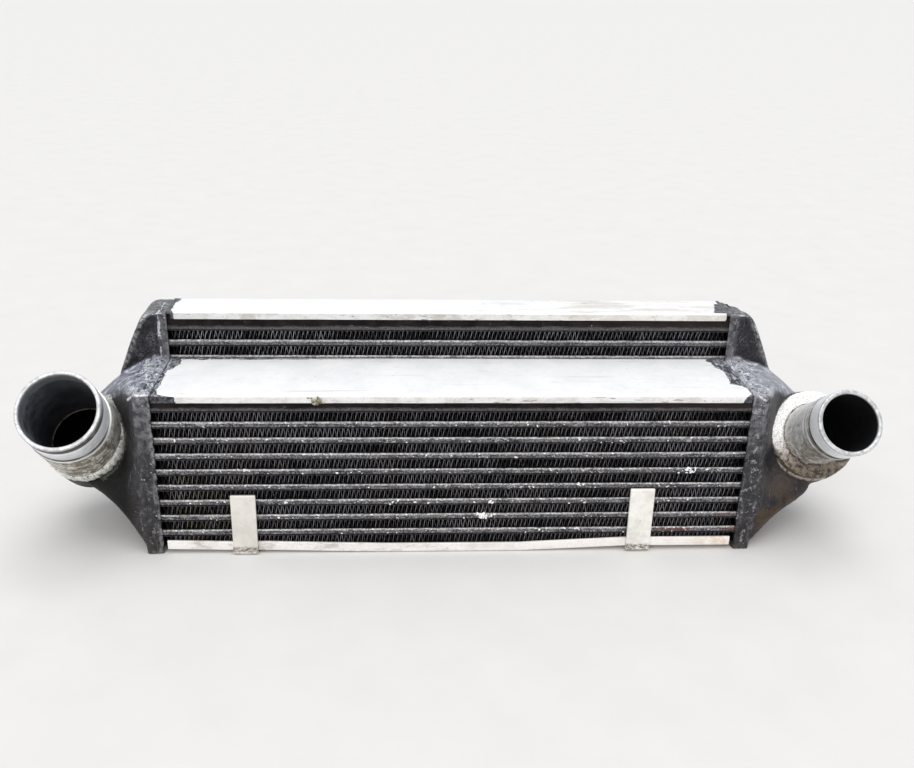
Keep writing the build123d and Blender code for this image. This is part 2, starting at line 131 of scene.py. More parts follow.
class Shader:
    """A principled material with short calls for its nodes. Lengths are in mm."""

    def __init__(self, name, **constants):
        self.mat = bpy.data.materials.new(name)
        self.mat.use_nodes = True
        self.nodes, self.links = self.mat.node_tree.nodes, self.mat.node_tree.links
        self.nodes.clear()
        out = self.nodes.new("ShaderNodeOutputMaterial")
        self.bsdf = self.nodes.new("ShaderNodeBsdfPrincipled")
        self.links.new(self.bsdf.outputs[0], out.inputs[0])
        for key, value in constants.items():
            self.bsdf.inputs[key.replace("_", " ")].default_value = value
        coords = self.nodes.new("ShaderNodeTexCoord")
        self.pos = self.vmath("SCALE", coords.outputs["Object"], scale=1000.0)
        xyz = self.nodes.new("ShaderNodeSeparateXYZ")
        self.links.new(self.pos, xyz.inputs[0])
        self.x, self.y, self.z = xyz.outputs
        self._normal = None

    def put(self, socket, value):
        if isinstance(value, bpy.types.NodeSocket):
            self.links.new(value, socket)
        elif isinstance(value, (tuple, list)) and len(value) == 3 and socket.type == "RGBA":
            socket.default_value = (*value, 1.0)
        else:
            socket.default_value = value

    def vmath(self, op, a, b=None, scale=None):
        n = self.nodes.new("ShaderNodeVectorMath")
        n.operation = op
        self.put(n.inputs[0], a)
        if b is not None:
            self.put(n.inputs[1], b)
        if scale is not None:
            n.inputs["Scale"].default_value = scale
        return n.outputs["Value"] if op in ("LENGTH", "DISTANCE", "DOT_PRODUCT") else n.outputs[0]

    def m(self, op, a, b=0.0, c=0.0, clamp=False):
        n = self.nodes.new("ShaderNodeMath")
        n.operation, n.use_clamp = op, clamp
        for s, v in zip(n.inputs, (a, b, c)):
            self.put(s, v)
        return n.outputs[0]

    def add(self, a, b, clamp=False):
        return self.m("ADD", a, b, clamp=clamp)

    def sub(self, a, b, clamp=False):
        return self.m("SUBTRACT", a, b, clamp=clamp)

    def mul(self, a, b, clamp=False):
        return self.m("MULTIPLY", a, b, clamp=clamp)

    def most(self, a, b):
        return self.m("MAXIMUM", a, b)

    def least(self, a, b):
        return self.m("MINIMUM", a, b)

    def ease(self, value, low, high, to_low=0.0, to_high=1.0):
        n = self.nodes.new("ShaderNodeMapRange")
        n.interpolation_type = "SMOOTHSTEP"
        for s, v in zip(n.inputs, (value, low, high, to_low, to_high)):
            self.put(s, v)
        return n.outputs[0]

    def stretched(self, sx=1.0, sy=1.0, sz=1.0, rot=(0, 0, 0)):
        n = self.nodes.new("ShaderNodeMapping")
        self.links.new(self.pos, n.inputs["Vector"])
        n.inputs["Scale"].default_value = (sx, sy, sz)
        n.inputs["Rotation"].default_value = rot
        return n.outputs[0]

    def noise(self, size, detail=3.0, rough=0.55, vector=None, distortion=0.0, lacunarity=2.0):
        n = self.nodes.new("ShaderNodeTexNoise")
        self.put(n.inputs["Vector"], vector or self.pos)
        n.inputs["Scale"].default_value = 1.0 / size
        n.inputs["Detail"].default_value = detail
        n.inputs["Roughness"].default_value = rough
        n.inputs["Lacunarity"].default_value = lacunarity
        n.inputs["Distortion"].default_value = distortion
        return n.outputs["Fac"]

    def cells(self, size, feature="F1", vector=None, randomness=1.0):
        n = self.nodes.new("ShaderNodeTexVoronoi")
        n.feature = feature
        self.put(n.inputs["Vector"], vector or self.pos)
        n.inputs["Scale"].default_value = 1.0 / size
        n.inputs["Randomness"].default_value = randomness
        return n.outputs["Distance"]

    def attr(self, name):
        n = self.nodes.new("ShaderNodeAttribute")
        n.attribute_name = name
        return n.outputs["Fac"]

    def mix(self, fac, a, b):
        n = self.nodes.new("ShaderNodeMix")
        n.data_type = "RGBA"
        n.clamp_factor = True
        self.put(n.inputs["Factor"], fac)
        self.put(n.inputs[6], a)
        self.put(n.inputs[7], b)
        return n.outputs[2]

    def blend(self, fac, a, b):
        n = self.nodes.new("ShaderNodeMix")
        n.data_type = "FLOAT"
        n.clamp_factor = True
        self.put(n.inputs["Factor"], fac)
        self.put(n.inputs[2], a)
        self.put(n.inputs[3], b)
        return n.outputs[0]

    def curve(self, value, points, low, high):
        """A float curve through (value, result) points, for value from low to high."""
        results = [p[1] for p in points]
        r_low, r_high = min(results) - 1.0, max(results) + 1.0
        n = self.nodes.new("ShaderNodeFloatCurve")
        line = n.mapping.curves[0]
        pts = sorted(((p[0] - low) / (high - low), (p[1] - r_low) / (r_high - r_low)) for p in points)
        line.points[0].location = pts[0]
        line.points[1].location = pts[-1]
        for p in pts[1:-1]:
            line.points.new(*p)
        for p in line.points:
            p.handle_type = "VECTOR"
        n.mapping.update()
        self.put(n.inputs["Value"], self.m("DIVIDE", self.sub(value, low), high - low, clamp=True))
        return self.add(self.mul(n.outputs[0], r_high - r_low), r_low)

    def normal_up(self):
        """How far the surface faces up, -1 to 1."""
        g = self.nodes.new("ShaderNodeNewGeometry")
        xyz = self.nodes.new("ShaderNodeSeparateXYZ")
        self.links.new(g.outputs["Normal"], xyz.inputs[0])
        return xyz.outputs[2]

    def bump(self, height, distance, strength=1.0):
        """Adds to the surface's relief. height is 0 to 1, distance in mm."""
        n = self.nodes.new("ShaderNodeBump")
        n.inputs["Strength"].default_value = strength
        n.inputs["Distance"].default_value = distance * MM
        self.put(n.inputs["Height"], height)
        if self._normal is not None:
            self.links.new(self._normal, n.inputs["Normal"])
        self._normal = n.outputs[0]
        self.links.new(self._normal, self.bsdf.inputs["Normal"])

    def colour(self, value):
        self.put(self.bsdf.inputs["Base Color"], value)

    def rough(self, value):
        self.put(self.bsdf.inputs["Roughness"], value)

    def metal(self, value):
        self.put(self.bsdf.inputs["Metallic"], value)


# =====================================================================================================
# materials
# =====================================================================================================
def specks(s, size, share, seed=(0.0, 0.0, 0.0)):
    """Small ragged spots covering about that share of the surface."""
    moved = s.vmath("ADD", s.pos, seed)
    n = s.noise(size, 2.0, 0.6, vector=moved)
    edge = 0.5 + 0.24 * (1.0 - share * 4.0)
    return s.ease(n, edge, edge + 0.05)


def fin_material():
    s = Shader("fin_black", Specular_IOR_Level=0.04)
    edge, tone = s.attr("edge"), s.attr("tone")
    patch = s.noise(24.0, 4.0, 0.7)
    fine = s.noise(1.5, 3.0, 0.6)
    # lighter front edges: partly worn paint, partly painted highlight; tone adds painted highlight on the legs that
    # catch the light and painted shade near the row ends
    lift = s.mul(edge, s.ease(s.add(s.mul(tone, 0.55), s.add(s.mul(patch, 0.55), s.mul(s.sub(fine, 0.5), 0.9))),
                              0.30, 0.95, 0.05, 1.0))
    # painted glint: fins of the upper rows turn lighter towards the left, in patches
    painted_glint = s.mul(s.mul(s.ease(s.x, -60.0, -150.0), s.ease(s.z, 154.0, 158.0)), s.ease(patch, 0.44, 0.58))
    dark = s.mix(s.noise(30.0, 2.0), (0.0020, 0.0018, 0.0023), (0.0050, 0.0045, 0.0052))
    tint = s.mix(s.ease(s.noise(40.0, 3.0), 0.42, 0.60), (0.385, 0.375, 0.420), (0.395, 0.370, 0.380))
    # olive dust low on the left
    olive = s.mul(s.mul(s.ease(s.x, -175.0, -235.0), s.ease(s.z, 95.0, 60.0)), s.ease(s.noise(10.0, 3.0), 0.42, 0.6))
    tint = s.mix(olive, tint, (0.42, 0.40, 0.27))
    tint = s.mix(s.mul(painted_glint, 0.8), tint, (0.62, 0.62, 0.66))
    colour = s.mix(lift, dark, tint)
    s.colour(colour)
    s.rough(s.blend(patch, 0.38, 0.6))
    s.metal(s.mul(lift, 0.3))
    s.bump(fine, 0.06)
    return s.mat


def bar_material():
    s = Shader("bar_black", Specular_IOR_Level=0.09)
    v, under_lip_shadow = s.attr("v"), s.attr("under_lip_shadow")
    cloud = s.noise(15.0, 4.0, 0.68)
    streak = s.noise(5.0, 4.0, 0.66, vector=s.stretched(0.30, 1.0, 1.0))
    grain = s.noise(1.25, 3.0, 0.65)
    fine = s.noise(0.6, 2.0, 0.6)
    grey = s.mix(s.ease(s.add(s.mul(cloud, 0.55), s.mul(streak, 0.45)), 0.38, 0.62),
                 (0.030, 0.028, 0.034), (0.118, 0.112, 0.122))
    grey = s.mix(s.ease(grain, 0.50, 0.64, 0.0, 0.85), grey, (0.290, 0.282, 0.292))
    grey = s.mix(s.ease(grain, 0.48, 0.34, 0.0, 0.8), grey, (0.018, 0.018, 0.020))
    # painted shade: the lowest, down-turned part of each bar's face is near black, the rest grey
    base = s.mix(s.ease(s.add(v, s.mul(s.sub(cloud, 0.5), 0.30)), -0.04, 0.22), (0.0060, 0.0056, 0.0066), grey)
    # brown tint low on the right, and a dusty warm one here and there
    brown = s.mul(s.mul(s.ease(s.x, 150.0, 235.0), s.ease(s.z, 50.0, 22.0)), s.ease(s.noise(18.0, 3.0), 0.38, 0.60))
    base = s.mix(s.mul(brown, 0.65), base, (0.150, 0.062, 0.050))
    dust = s.ease(s.noise(34.0, 4.0, 0.7, vector=s.vmath("ADD", s.pos, (70.0, 0.0, 40.0))), 0.54, 0.68)
    base = s.mix(s.mul(s.mul(dust, s.ease(v, 0.1, 0.6)), 0.35), base, (0.25, 0.235, 0.205))
    # rubbed upper edge, also painted brighter as highlight where it faces the light above
    rub_and_highlight = s.mul(s.ease(v, 0.72, 0.90),
                s.ease(s.add(s.noise(4.2, 4.0, 0.7), s.mul(s.sub(cloud, 0.5), 1.0)), 0.34, 0.54, 0.45, 1.0))
    base = s.mix(rub_and_highlight, base, s.mix(s.ease(grain, 0.36, 0.60), (0.20, 0.198, 0.196), (0.80, 0.795, 0.79)))
    # scratches
    nick = s.ease(s.noise(4.0, 3.0, 0.6, vector=s.stretched(0.35, 1.0, 0.9, (0.0, 0.65, 0.0))), 0.66, 0.70)
    base = s.mix(s.mul(nick, 0.55), base, (0.46, 0.455, 0.45))
    chip = s.mul(specks(s, 1.9, 0.020, (3.0, 40.0, 9.0)), s.ease(v, 0.15, 0.5))
    base = s.mix(chip, base, (0.78, 0.77, 0.75))
    # the two tall bars under the cover plates: painted dark as the shadow of the plate's lip, only their lower edge
    # grey where it comes out of that shadow, with a few specks
    lip_shadow_colour = s.mix(s.ease(cloud, 0.35, 0.65), (0.0045, 0.0032, 0.0033), (0.017, 0.0130, 0.0135))
    lip_shadow_colour = s.mix(s.mul(s.ease(s.x, 90.0, 250.0), 0.5), lip_shadow_colour, (0.032, 0.025, 0.020))
    lit_lower_edge = s.mul(s.ease(s.add(v, s.mul(s.sub(streak, 0.5), 0.35)), 0.34, 0.14), s.ease(grain, 0.34, 0.62, 0.25, 1.0))
    lip_shadow_colour = s.mix(lit_lower_edge, lip_shadow_colour, (0.115, 0.108, 0.110))
    lip_shadow_colour = s.mix(s.mul(specks(s, 2.0, 0.008, (13.0, 4.0, 9.0)), 0.8), lip_shadow_colour, (0.50, 0.49, 0.47))
    base = s.mix(under_lip_shadow, base, lip_shadow_colour)
    s.colour(base)
    s.rough(s.blend(s.most(rub_and_highlight, chip), s.blend(cloud, 0.42, 0.66), 0.36))
    s.metal(s.mul(s.most(rub_and_highlight, chip), 0.35))
    s.bump(grain, 0.18)
    s.bump(fine, 0.10)
    s.bump(cloud, 0.14, 0.7)
    return s.mat


def sheet_material():
    """Edges of the parting sheets and the end bars. A sheet's edge over a bar is painted bright, partly rubbed wear and
    partly a highlight from the light above; one under it isn't.
    """
    s = Shader("sheet_black", Specular_IOR_Level=0.08)
    cloud = s.noise(12.0, 4.0, 0.65)
    grain = s.noise(1.1, 2.0, 0.6)
    level = s.m("SUBTRACT", s.blend(s.ease(s.z, 152.7, 153.1), 129.5, 173.216), s.z)
    phase = s.m("FLOORED_MODULO", level, 15.166)
    over = s.ease(phase, 2.6, 1.2)
    front = s.blend(s.ease(s.z, 152.7, 153.1), DEEP_FRONT, SHALLOW_FRONT)
    depth = s.least(s.m("ABSOLUTE", s.sub(s.y, front)), s.m("ABSOLUTE", s.sub(s.y, CORE_BACK)))
    near_edge = s.ease(depth, 0.75, 0.25)
    base = s.mix(s.ease(cloud, 0.36, 0.66), (0.0040, 0.0038, 0.0044), (0.0120, 0.0115, 0.0125))
    base = s.mix(s.mul(near_edge, 0.70), base, s.mix(s.ease(grain, 0.38, 0.64), (0.014, 0.0135, 0.016), (0.082, 0.079, 0.086)))
    side_end = s.mul(s.ease(s.z, 12.0, 10.0), s.ease(s.m("ABSOLUTE", s.x), 254.0, 256.0))
    base = s.mix(side_end, base, (0.008, 0.008, 0.010))
    over = s.mul(over, s.sub(1.0, side_end))
    # painted highlight and wear: light edges on the sheets over the bars
    rub_and_highlight = s.mul(over, s.ease(s.add(s.noise(5.0, 4.0, 0.7, vector=s.stretched(0.5, 1, 1)),
                                   s.mul(s.sub(cloud, 0.5), 0.8)), 0.32, 0.56, 0.35, 1.0))
    rub_and_highlight = s.mul(s.mul(rub_and_highlight, near_edge), s.ease(s.m("ABSOLUTE", s.x), 268.5, 267.0))
    base = s.mix(rub_and_highlight, base, s.mix(s.ease(grain, 0.36, 0.60), (0.24, 0.236, 0.234), (0.74, 0.735, 0.73)))
    s.colour(base)
    s.rough(s.blend(cloud, 0.42, 0.65))
    s.metal(s.mul(rub_and_highlight, 0.3))
    s.bump(grain, 0.08)
    return s.mat


def end_bar_material():
    s = Shader("end_bar_black", Specular_IOR_Level=0.05)
    cloud = s.noise(9.0, 4.0, 0.65)
    grain = s.noise(1.1, 2.0, 0.6)
    base = s.mix(s.ease(cloud, 0.36, 0.66), (0.0030, 0.0030, 0.0034), (0.010, 0.010, 0.0105))
    base = s.mix(s.mul(specks(s, 2.2, 0.02, (3.0, 4.0, 9.0)), 0.5), base, (0.22, 0.22, 0.22))
    s.colour(base)
    s.rough(s.blend(cloud, 0.42, 0.62))
    s.bump(grain, 0.10)
    return s.mat


def inner_material():
    """Bare mill-finish fins inside the charge passages."""
    s = Shader("inner_aluminium", Metallic=0.9)
    n = s.noise(4.0, 3.0)
    s.colour(s.mix(n, (0.42, 0.42, 0.41), (0.60, 0.60, 0.585)))
    s.rough(s.blend(n, 0.40, 0.60))
    s.bump(n, 0.05)
    return s.mat


def plate_material(name, top_z, front_y, left_line, right_line, s_low, s_high, warm=0.0, lip_only=False, brush_sheen_amount=0.75,
                   rear=None, lip_tone=0.74):
    """Bare rolled aluminium, with black overspray past the two lines at its ends.
    The lines are x against distance along the folded sheet: y on its flat, then on down the lip."""
    s = Shader(name, Specular_IOR_Level=0.2)
    along = s.add(s.y, s.least(s.sub(s.z, top_z), 0.0)) if front_y is not None else s.y
    cloud = s.noise(38.0, 4.0, 0.62)
    mottle = s.noise(7.0, 4.0, 0.66)
    grain = s.noise(1.6, 2.0, 0.6, vector=s.stretched(0.12, 1.0, 1.0))
    base = s.mix(s.ease(cloud, 0.3, 0.7), (0.83, 0.84, 0.85), (0.92, 0.92, 0.915))
    # the lip's upright face is a darker grey than the flat
    lip_face_darker = s.ease(s.z, top_z - 0.1, top_z - 1.6) if not lip_only else 0.0
    base = s.mix(s.mul(lip_face_darker, 0.75), base, (lip_tone, lip_tone * 0.993, lip_tone * 0.986))
    base = s.mix(s.mul(s.ease(mottle, 0.50, 0.72), 0.28), base, (0.70, 0.705, 0.69))
    # fine scratches, mostly along the sheet
    scratch = s.ease(s.noise(5.0, 3.0, 0.6, vector=s.stretched(0.035, 1.3, 1.3, (0, 0, 0.10))), 0.650, 0.70)
    base = s.mix(s.mul(scratch, 0.45), base, (0.48, 0.48, 0.47))
    slant = s.ease(s.noise(4.0, 3.0, 0.6, vector=s.stretched(0.07, 1.2, 1.2, (0, 0, 1.05))), 0.685, 0.715)
    base = s.mix(s.mul(slant, 0.35), base, (0.52, 0.52, 0.51))
    # grime on the lips and small dark marks
    lip = s.ease(s.z, top_z - 0.2, top_z - 2.2) if not lip_only else s.ease(s.z, 60.0, 50.0)
    grime = s.mul(lip, s.ease(s.noise(11.0, 4.0, 0.72, vector=s.stretched(0.5, 1, 1)), 0.42, 0.66))
    base = s.mix(s.mul(grime, 0.50), base, (0.46, 0.43, 0.37))
    gritty = s.mul(lip, s.ease(s.noise(1.7, 3.0, 0.7), 0.54, 0.68))
    base = s.mix(s.mul(gritty, 0.30), base, (0.34, 0.32, 0.28))
    marks = specks(s, 2.6, 0.014, (5.0, 8.0, 2.0))
    base = s.mix(s.mul(marks, s.blend(lip, 0.45, 0.85)), base, (0.15, 0.14, 0.125))
    blots = s.mul(lip, s.ease(s.noise(4.6, 4.0, 0.7, vector=s.vmath("ADD", s.pos, (50.0, 8.0, 3.0))), 0.645, 0.70))
    base = s.mix(s.mul(blots, 0.75), base, (0.20, 0.175, 0.13))
    dash = s.mul(lip, s.ease(s.noise(2.6, 2.0, 0.55, vector=s.stretched(0.16, 1.0, 1.2)), 0.665, 0.70))
    base = s.mix(s.mul(dash, 0.8), base, (0.22, 0.205, 0.18))
    if lip_tone < 0.7:
        smudge = s.noise(26.0, 4.0, 0.66, vector=s.vmath("ADD", s.stretched(0.55, 1, 1), (31.0, 6.0, 2.0)))
        base = s.mix(s.mul(s.mul(lip, s.ease(smudge, 0.51, 0.59)), 0.60), base, (0.40, 0.375, 0.335))
        # the flat is stained towards the right
        streaks = s.noise(9.0, 5.0, 0.72, vector=s.vmath("ADD", s.stretched(0.13, 1.0, 1.0), (7.0, 3.0, 0.0)))
        dusty = s.mul(s.ease(s.x, -30.0, 110.0), s.ease(streaks, 0.46, 0.60))
        base = s.mix(s.mul(dusty, 0.62), base, (0.47, 0.445, 0.40))
        flecks = s.mul(s.ease(s.x, -10.0, 60.0), s.ease(s.noise(3.2, 4.0, 0.7, vector=s.stretched(0.30, 1.0, 1.0)), 0.60, 0.66))
        base = s.mix(s.mul(flecks, 0.60), base, (0.24, 0.215, 0.18))
    warmth = s.mul(s.ease(s.x, -40.0, 230.0), warm)
    base = s.mix(warmth, base, (0.90, 0.865, 0.80))
    if lip_only:
        base = s.mix(0.45, base, (0.86, 0.80, 0.75))
        dirty = s.mul(s.ease(s.x, 60.0, -120.0), s.ease(s.noise(9.0, 5.0, 0.74, vector=s.stretched(0.45, 1, 1)), 0.50, 0.62))
        base = s.mix(s.mul(dirty, 0.60), base, (0.42, 0.385, 0.33))
        rust = s.mul(s.ease(s.x, 205.0, 256.0), s.ease(s.noise(8.0, 4.0, 0.7), 0.36, 0.60))
        base = s.mix(s.mul(rust, 0.50), base, (0.62, 0.40, 0.19))
        under = s.ease(s.z, 2.2, 0.6)
        base = s.mix(s.mul(under, 0.35), base, (0.30, 0.27, 0.22))
    # overspray
    ragged = s.add(s.mul(s.sub(s.noise(3.4, 4.0, 0.66, vector=s.vmath("ADD", s.pos, (9.0, 2.0, 0.0))), 0.5), 5.0),
                   s.mul(s.sub(s.noise(11.0, 2.0, 0.5), 0.5), 3.0))
    coast = s.add(s.x, ragged)
    left = s.ease(s.sub(s.curve(along, left_line, s_low, s_high), coast), -0.12, 0.22)
    right = s.ease(s.sub(coast, s.curve(along, right_line, s_low, s_high)), -0.12, 0.22)
    paint = s.most(left, right)
    if rear is not None:
        ragged_rear = s.add(s.y, s.mul(s.sub(s.noise(6.0, 4.0, 0.66, vector=s.stretched(0.5, 1.0, 1.0)), 0.5), 9.0))
        strip = s.mul(s.ease(ragged_rear, rear, rear + 0.8), s.ease(s.x, -60.0, -190.0))
        paint = s.most(paint, strip)
    thick = s.noise(5.0, 3.0, 0.6)
    black = s.mix(s.ease(thick, 0.36, 0.66), (0.018, 0.019, 0.022), (0.070, 0.074, 0.086))
    # painted highlight: lighter bluish streaks in the overspray on the up-facing flat, brush marks and crinkle ridges
    # painted light as the sky's reflection
    brush_sheen = s.ease(s.noise(3.4, 4.0, 0.66, vector=s.stretched(0.65, 0.30, 1.0, (0, 0, 0.5))), 0.50, 0.64)
    brush_sheen = s.mul(brush_sheen, s.ease(s.z, top_z - 1.6, top_z - 0.3)) if not lip_only else brush_sheen
    scuffed = s.ease(s.noise(2.4, 4.0, 0.70, vector=s.vmath("ADD", s.pos, (4.0, 0.0, 19.0))), 0.50, 0.64)
    black = s.mix(s.mul(scuffed, 0.55), black, (0.19, 0.195, 0.21))
    black = s.mix(s.mul(brush_sheen, brush_sheen_amount), black, (0.34, 0.36, 0.41))
    ridge_sheen = s.ease(s.m("ABSOLUTE", s.sub(s.noise(4.6, 4.0, 0.60, vector=s.stretched(0.70, 0.32, 1.0, (0, 0, 0.55)),
                                                 distortion=0.7), 0.5)), 0.022, 0.004)
    ridge_sheen = s.mul(ridge_sheen, s.ease(s.z, top_z - 1.6, top_z - 0.3)) if not lip_only else ridge_sheen
    black = s.mix(s.mul(ridge_sheen, brush_sheen_amount), black, (0.66, 0.68, 0.73))
    s.colour(s.mix(paint, base, black))
    s.metal(s.blend(paint, 0.25, 0.0))
    s.rough(s.blend(paint, s.blend(grain, 0.36, 0.52), 0.40))
    s.bump(paint, 0.30)
    s.bump(thick, 0.25, 0.6)
    s.bump(grain, 0.035)
    s.bump(s.sub(1.0, s.most(scratch, slant)), 0.06)
    s.bump(cloud, 0.5, 0.5)
    return s.mat


def strap_material():
    s = Shader("strap_aluminium")
    cloud = s.noise(15.0, 4.0, 0.6)
    grain = s.noise(1.2, 3.0, 0.65)
    base = s.mix(s.ease(cloud, 0.32, 0.68), (0.66, 0.64, 0.60), (0.86, 0.835, 0.79))
    stain = s.ease(s.noise(5.5, 4.0, 0.7), 0.56, 0.74)
    worn = s.ease(s.x, 0.0, -60.0)
    base = s.mix(s.mul(worn, 0.5), base, (0.62, 0.585, 0.53))
    base = s.mix(s.mul(stain, 0.5), base, (0.52, 0.46, 0.34))
    foot = s.mul(s.ease(s.z, 12.0, 2.0), s.ease(s.noise(3.0, 4.0, 0.7), 0.42, 0.62))
    base = s.mix(s.mul(foot, 0.85), base, (0.19, 0.155, 0.10))
    bend = s.mul(s.mul(s.ease(s.z, 9.5, 7.0), s.ease(s.z, 3.0, 4.2)), s.ease(s.noise(1.9, 3.0, 0.7, vector=s.stretched(0.6, 1, 1)), 0.40, 0.56))
    base = s.mix(s.mul(bend, 0.85), base, (0.085, 0.070, 0.048))
    marks = specks(s, 1.9, 0.020, (4.0, 4.0, 8.0))
    base = s.mix(s.mul(marks, 0.75), base, (0.24, 0.21, 0.16))
    s.colour(base)
    s.metal(s.blend(foot, 0.30, 0.0))
    s.rough(s.blend(grain, 0.42, 0.6))
    s.bump(grain, 0.06)
    s.bump(cloud, 0.3, 0.5)
    return s.mat


def tank_material():
    s = Shader("tank_black", Specular_IOR_Level=0.13)
    up = s.normal_up()
    strip, shoulder, edge, brown = s.attr("strip"), s.attr("shoulder"), s.attr("edge"), s.attr("brown")
    upper, crust = s.attr("upper"), s.attr("crust")
    cloud = s.noise(24.0, 4.0, 0.64)
    mottle = s.noise(5.0, 4.0, 0.70)
    grain = s.noise(1.2, 3.0, 0.66)
    base = s.mix(s.ease(cloud, 0.34, 0.66), (0.0060, 0.0058, 0.0075), (0.0170, 0.0165, 0.0200))
    base = s.mix(s.ease(grain, 0.52, 0.72, 0.0, 0.45), base, (0.062, 0.062, 0.068))
    # faint brushed lines across the upper front faces
    lines = s.noise(2.6, 4.0, 0.64, vector=s.stretched(0.30, 1.0, 0.8, (0.0, 0.5, 0.0)))
    base = s.mix(s.mul(s.ease(lines, 0.48, 0.66), s.blend(upper, 0.18, 0.35)), base, (0.060, 0.060, 0.070))
    hair = s.noise(5.5, 3.0, 0.62, distortion=1.6)
    base = s.mix(s.mul(upper, s.ease(s.x, 0.0, 200.0, 0.22, 0.42)), base, (0.036, 0.036, 0.042))
    hair = s.mul(s.ease(s.m("ABSOLUTE", s.sub(hair, 0.5)), 0.020, 0.004), s.ease(cloud, 0.42, 0.58, 0.20, 1.0))
    base = s.mix(s.mul(hair, s.blend(upper, 0.22, 0.65)), base, (0.26, 0.26, 0.285))
    # what faces up is lighter: dust, and painted reflection of the sky on the satin paint; the crown gets lighter and
    # darker blotches too
    lit = s.ease(up, 0.15, 0.9)
    base = s.mix(s.mul(lit, s.ease(mottle, 0.30, 0.68, 0.25, 0.85)), base, (0.140, 0.145, 0.160))
    crown = s.mul(lit, s.ease(s.z, 184.0, 195.0))
    blotchy = s.noise(3.8, 5.0, 0.74, vector=s.vmath("ADD", s.pos, (14.0, 3.0, 0.0)))
    base = s.mix(s.mul(s.mul(crown, s.ease(blotchy, 0.46, 0.60)), 0.65), base, (0.30, 0.295, 0.285))
    base = s.mix(s.mul(s.mul(crown, s.ease(blotchy, 0.44, 0.36)), 0.7), base, (0.050, 0.050, 0.054))
    # brushed and crinkled shoulders, painted lighter as lit where they face up; their brush marks and crinkle ridges
    # painted as light highlights, their pits darker as painted shade
    sweep = s.noise(3.0, 5.0, 0.70, vector=s.stretched(0.26, 0.55, 0.55, (0.0, 0.0, 0.35)), distortion=0.6)
    cross = s.noise(2.4, 5.0, 0.70, vector=s.stretched(0.60, 0.24, 0.60, (0.0, 0.0, 0.30)), distortion=0.8)
    marks = s.most(s.ease(sweep, 0.50, 0.60), s.mul(s.ease(cross, 0.52, 0.61), crust))
    marks = s.mul(marks, s.ease(cloud, 0.26, 0.56, 0.35, 1.0))
    base = s.mix(s.mul(shoulder, 0.72), base, s.mix(s.ease(s.x, 0.0, 200.0), (0.135, 0.145, 0.182), (0.250, 0.257, 0.285)))
    base = s.mix(s.mul(s.mul(shoulder, marks), 0.85), base, (0.50, 0.52, 0.585))
    crinkle = s.noise(5.2, 4.0, 0.60, vector=s.stretched(0.52, 0.34, 0.5, (0.0, 0.0, 0.40)), distortion=0.8)
    crease = s.mul(s.mul(shoulder, s.blend(crust, 0.2, 1.0)), s.ease(s.m("ABSOLUTE", s.sub(crinkle, 0.5)), 0.020, 0.004))
    base = s.mix(s.mul(crease, 0.85), base, (0.84, 0.855, 0.90))
    pit_shade = s.mul(s.mul(shoulder, crust), s.ease(mottle, 0.44, 0.36))
    base = s.mix(s.mul(pit_shade, 0.85), base, (0.030, 0.034, 0.042))
    # scuffed flange
    scuff_v = s.noise(4.5, 5.0, 0.74, vector=s.stretched(1.0, 1.0, 0.45))
    scuff = s.mul(strip, s.ease(s.add(scuff_v, s.mul(s.sub(mottle, 0.5), 0.5)), 0.50, 0.74))
    base = s.mix(s.mul(strip, s.ease(cloud, 0.30, 0.6, 0.2, 0.75)), base, (0.038, 0.037, 0.042))
    base = s.mix(s.mul(scuff, 0.75), base, (0.185, 0.183, 0.190))
    pale_top = s.mul(s.mul(strip, s.ease(s.z, 88.0, 132.0)), s.ease(mottle, 0.36, 0.60, 0.15, 0.75))
    base = s.mix(pale_top, base, (0.165, 0.166, 0.178))
    hollows = s.mul(strip, s.ease(scuff_v, 0.42, 0.34))
    base = s.mix(s.mul(hollows, 0.8), base, (0.010, 0.010, 0.012))
    flecks = s.mul(s.add(s.mul(strip, 0.90), 0.08), s.most(specks(s, 2.6, 0.055, (8.0, 1.0, 30.0)),
                                                         s.mul(specks(s, 5.5, 0.030, (1.0, 9.0, 3.0)), s.ease(grain, 0.42, 0.54))))
    base = s.mix(flecks, base, (0.62, 0.62, 0.61))
    big = s.mul(s.mul(strip, s.ease(s.x, 0.0, 200.0)), s.mul(s.ease(s.noise(7.5, 4.0, 0.68, vector=s.vmath("ADD", s.pos, (21.0, 2.0, 5.0))), 0.575, 0.625), s.ease(grain, 0.38, 0.54)))
    base = s.mix(s.mul(big, 0.75), base, (0.34, 0.34, 0.35))
    # scratches
    scratch = s.ease(s.noise(6.0, 3.0, 0.6, vector=s.stretched(0.9, 0.9, 0.07, (0.5, 0.2, 0.1))), 0.655, 0.70)
    base = s.mix(s.mul(scratch, 0.40), base, (0.26, 0.26, 0.27))
    # worn edges
    wear = s.mul(edge, s.ease(s.add(mottle, s.mul(s.sub(grain, 0.5), 0.5)), 0.36, 0.60))
    base = s.mix(s.mul(wear, 0.70), base, (0.30, 0.305, 0.315))
    # spatter round the pipe's weld
    weldy = s.attr("weldy")
    spatter = s.ease(s.add(s.mul(weldy, 0.75), s.mul(s.sub(s.noise(2.8, 5.0, 0.74), 0.5), 1.6)), 0.42, 0.56)
    base = s.mix(s.mul(spatter, 0.9), base, s.mix(s.ease(grain, 0.38, 0.60), (0.26, 0.27, 0.245), (0.74, 0.76, 0.71)))
    # brown dirt low down
    soil = s.mul(brown, s.ease(s.noise(17.0, 4.0, 0.65), 0.32, 0.60))
    base = s.mix(s.mul(soil, 0.80), base, s.mix(s.ease(s.x, 0.0, 200.0), (0.036, 0.027, 0.019), (0.082, 0.055, 0.031)))
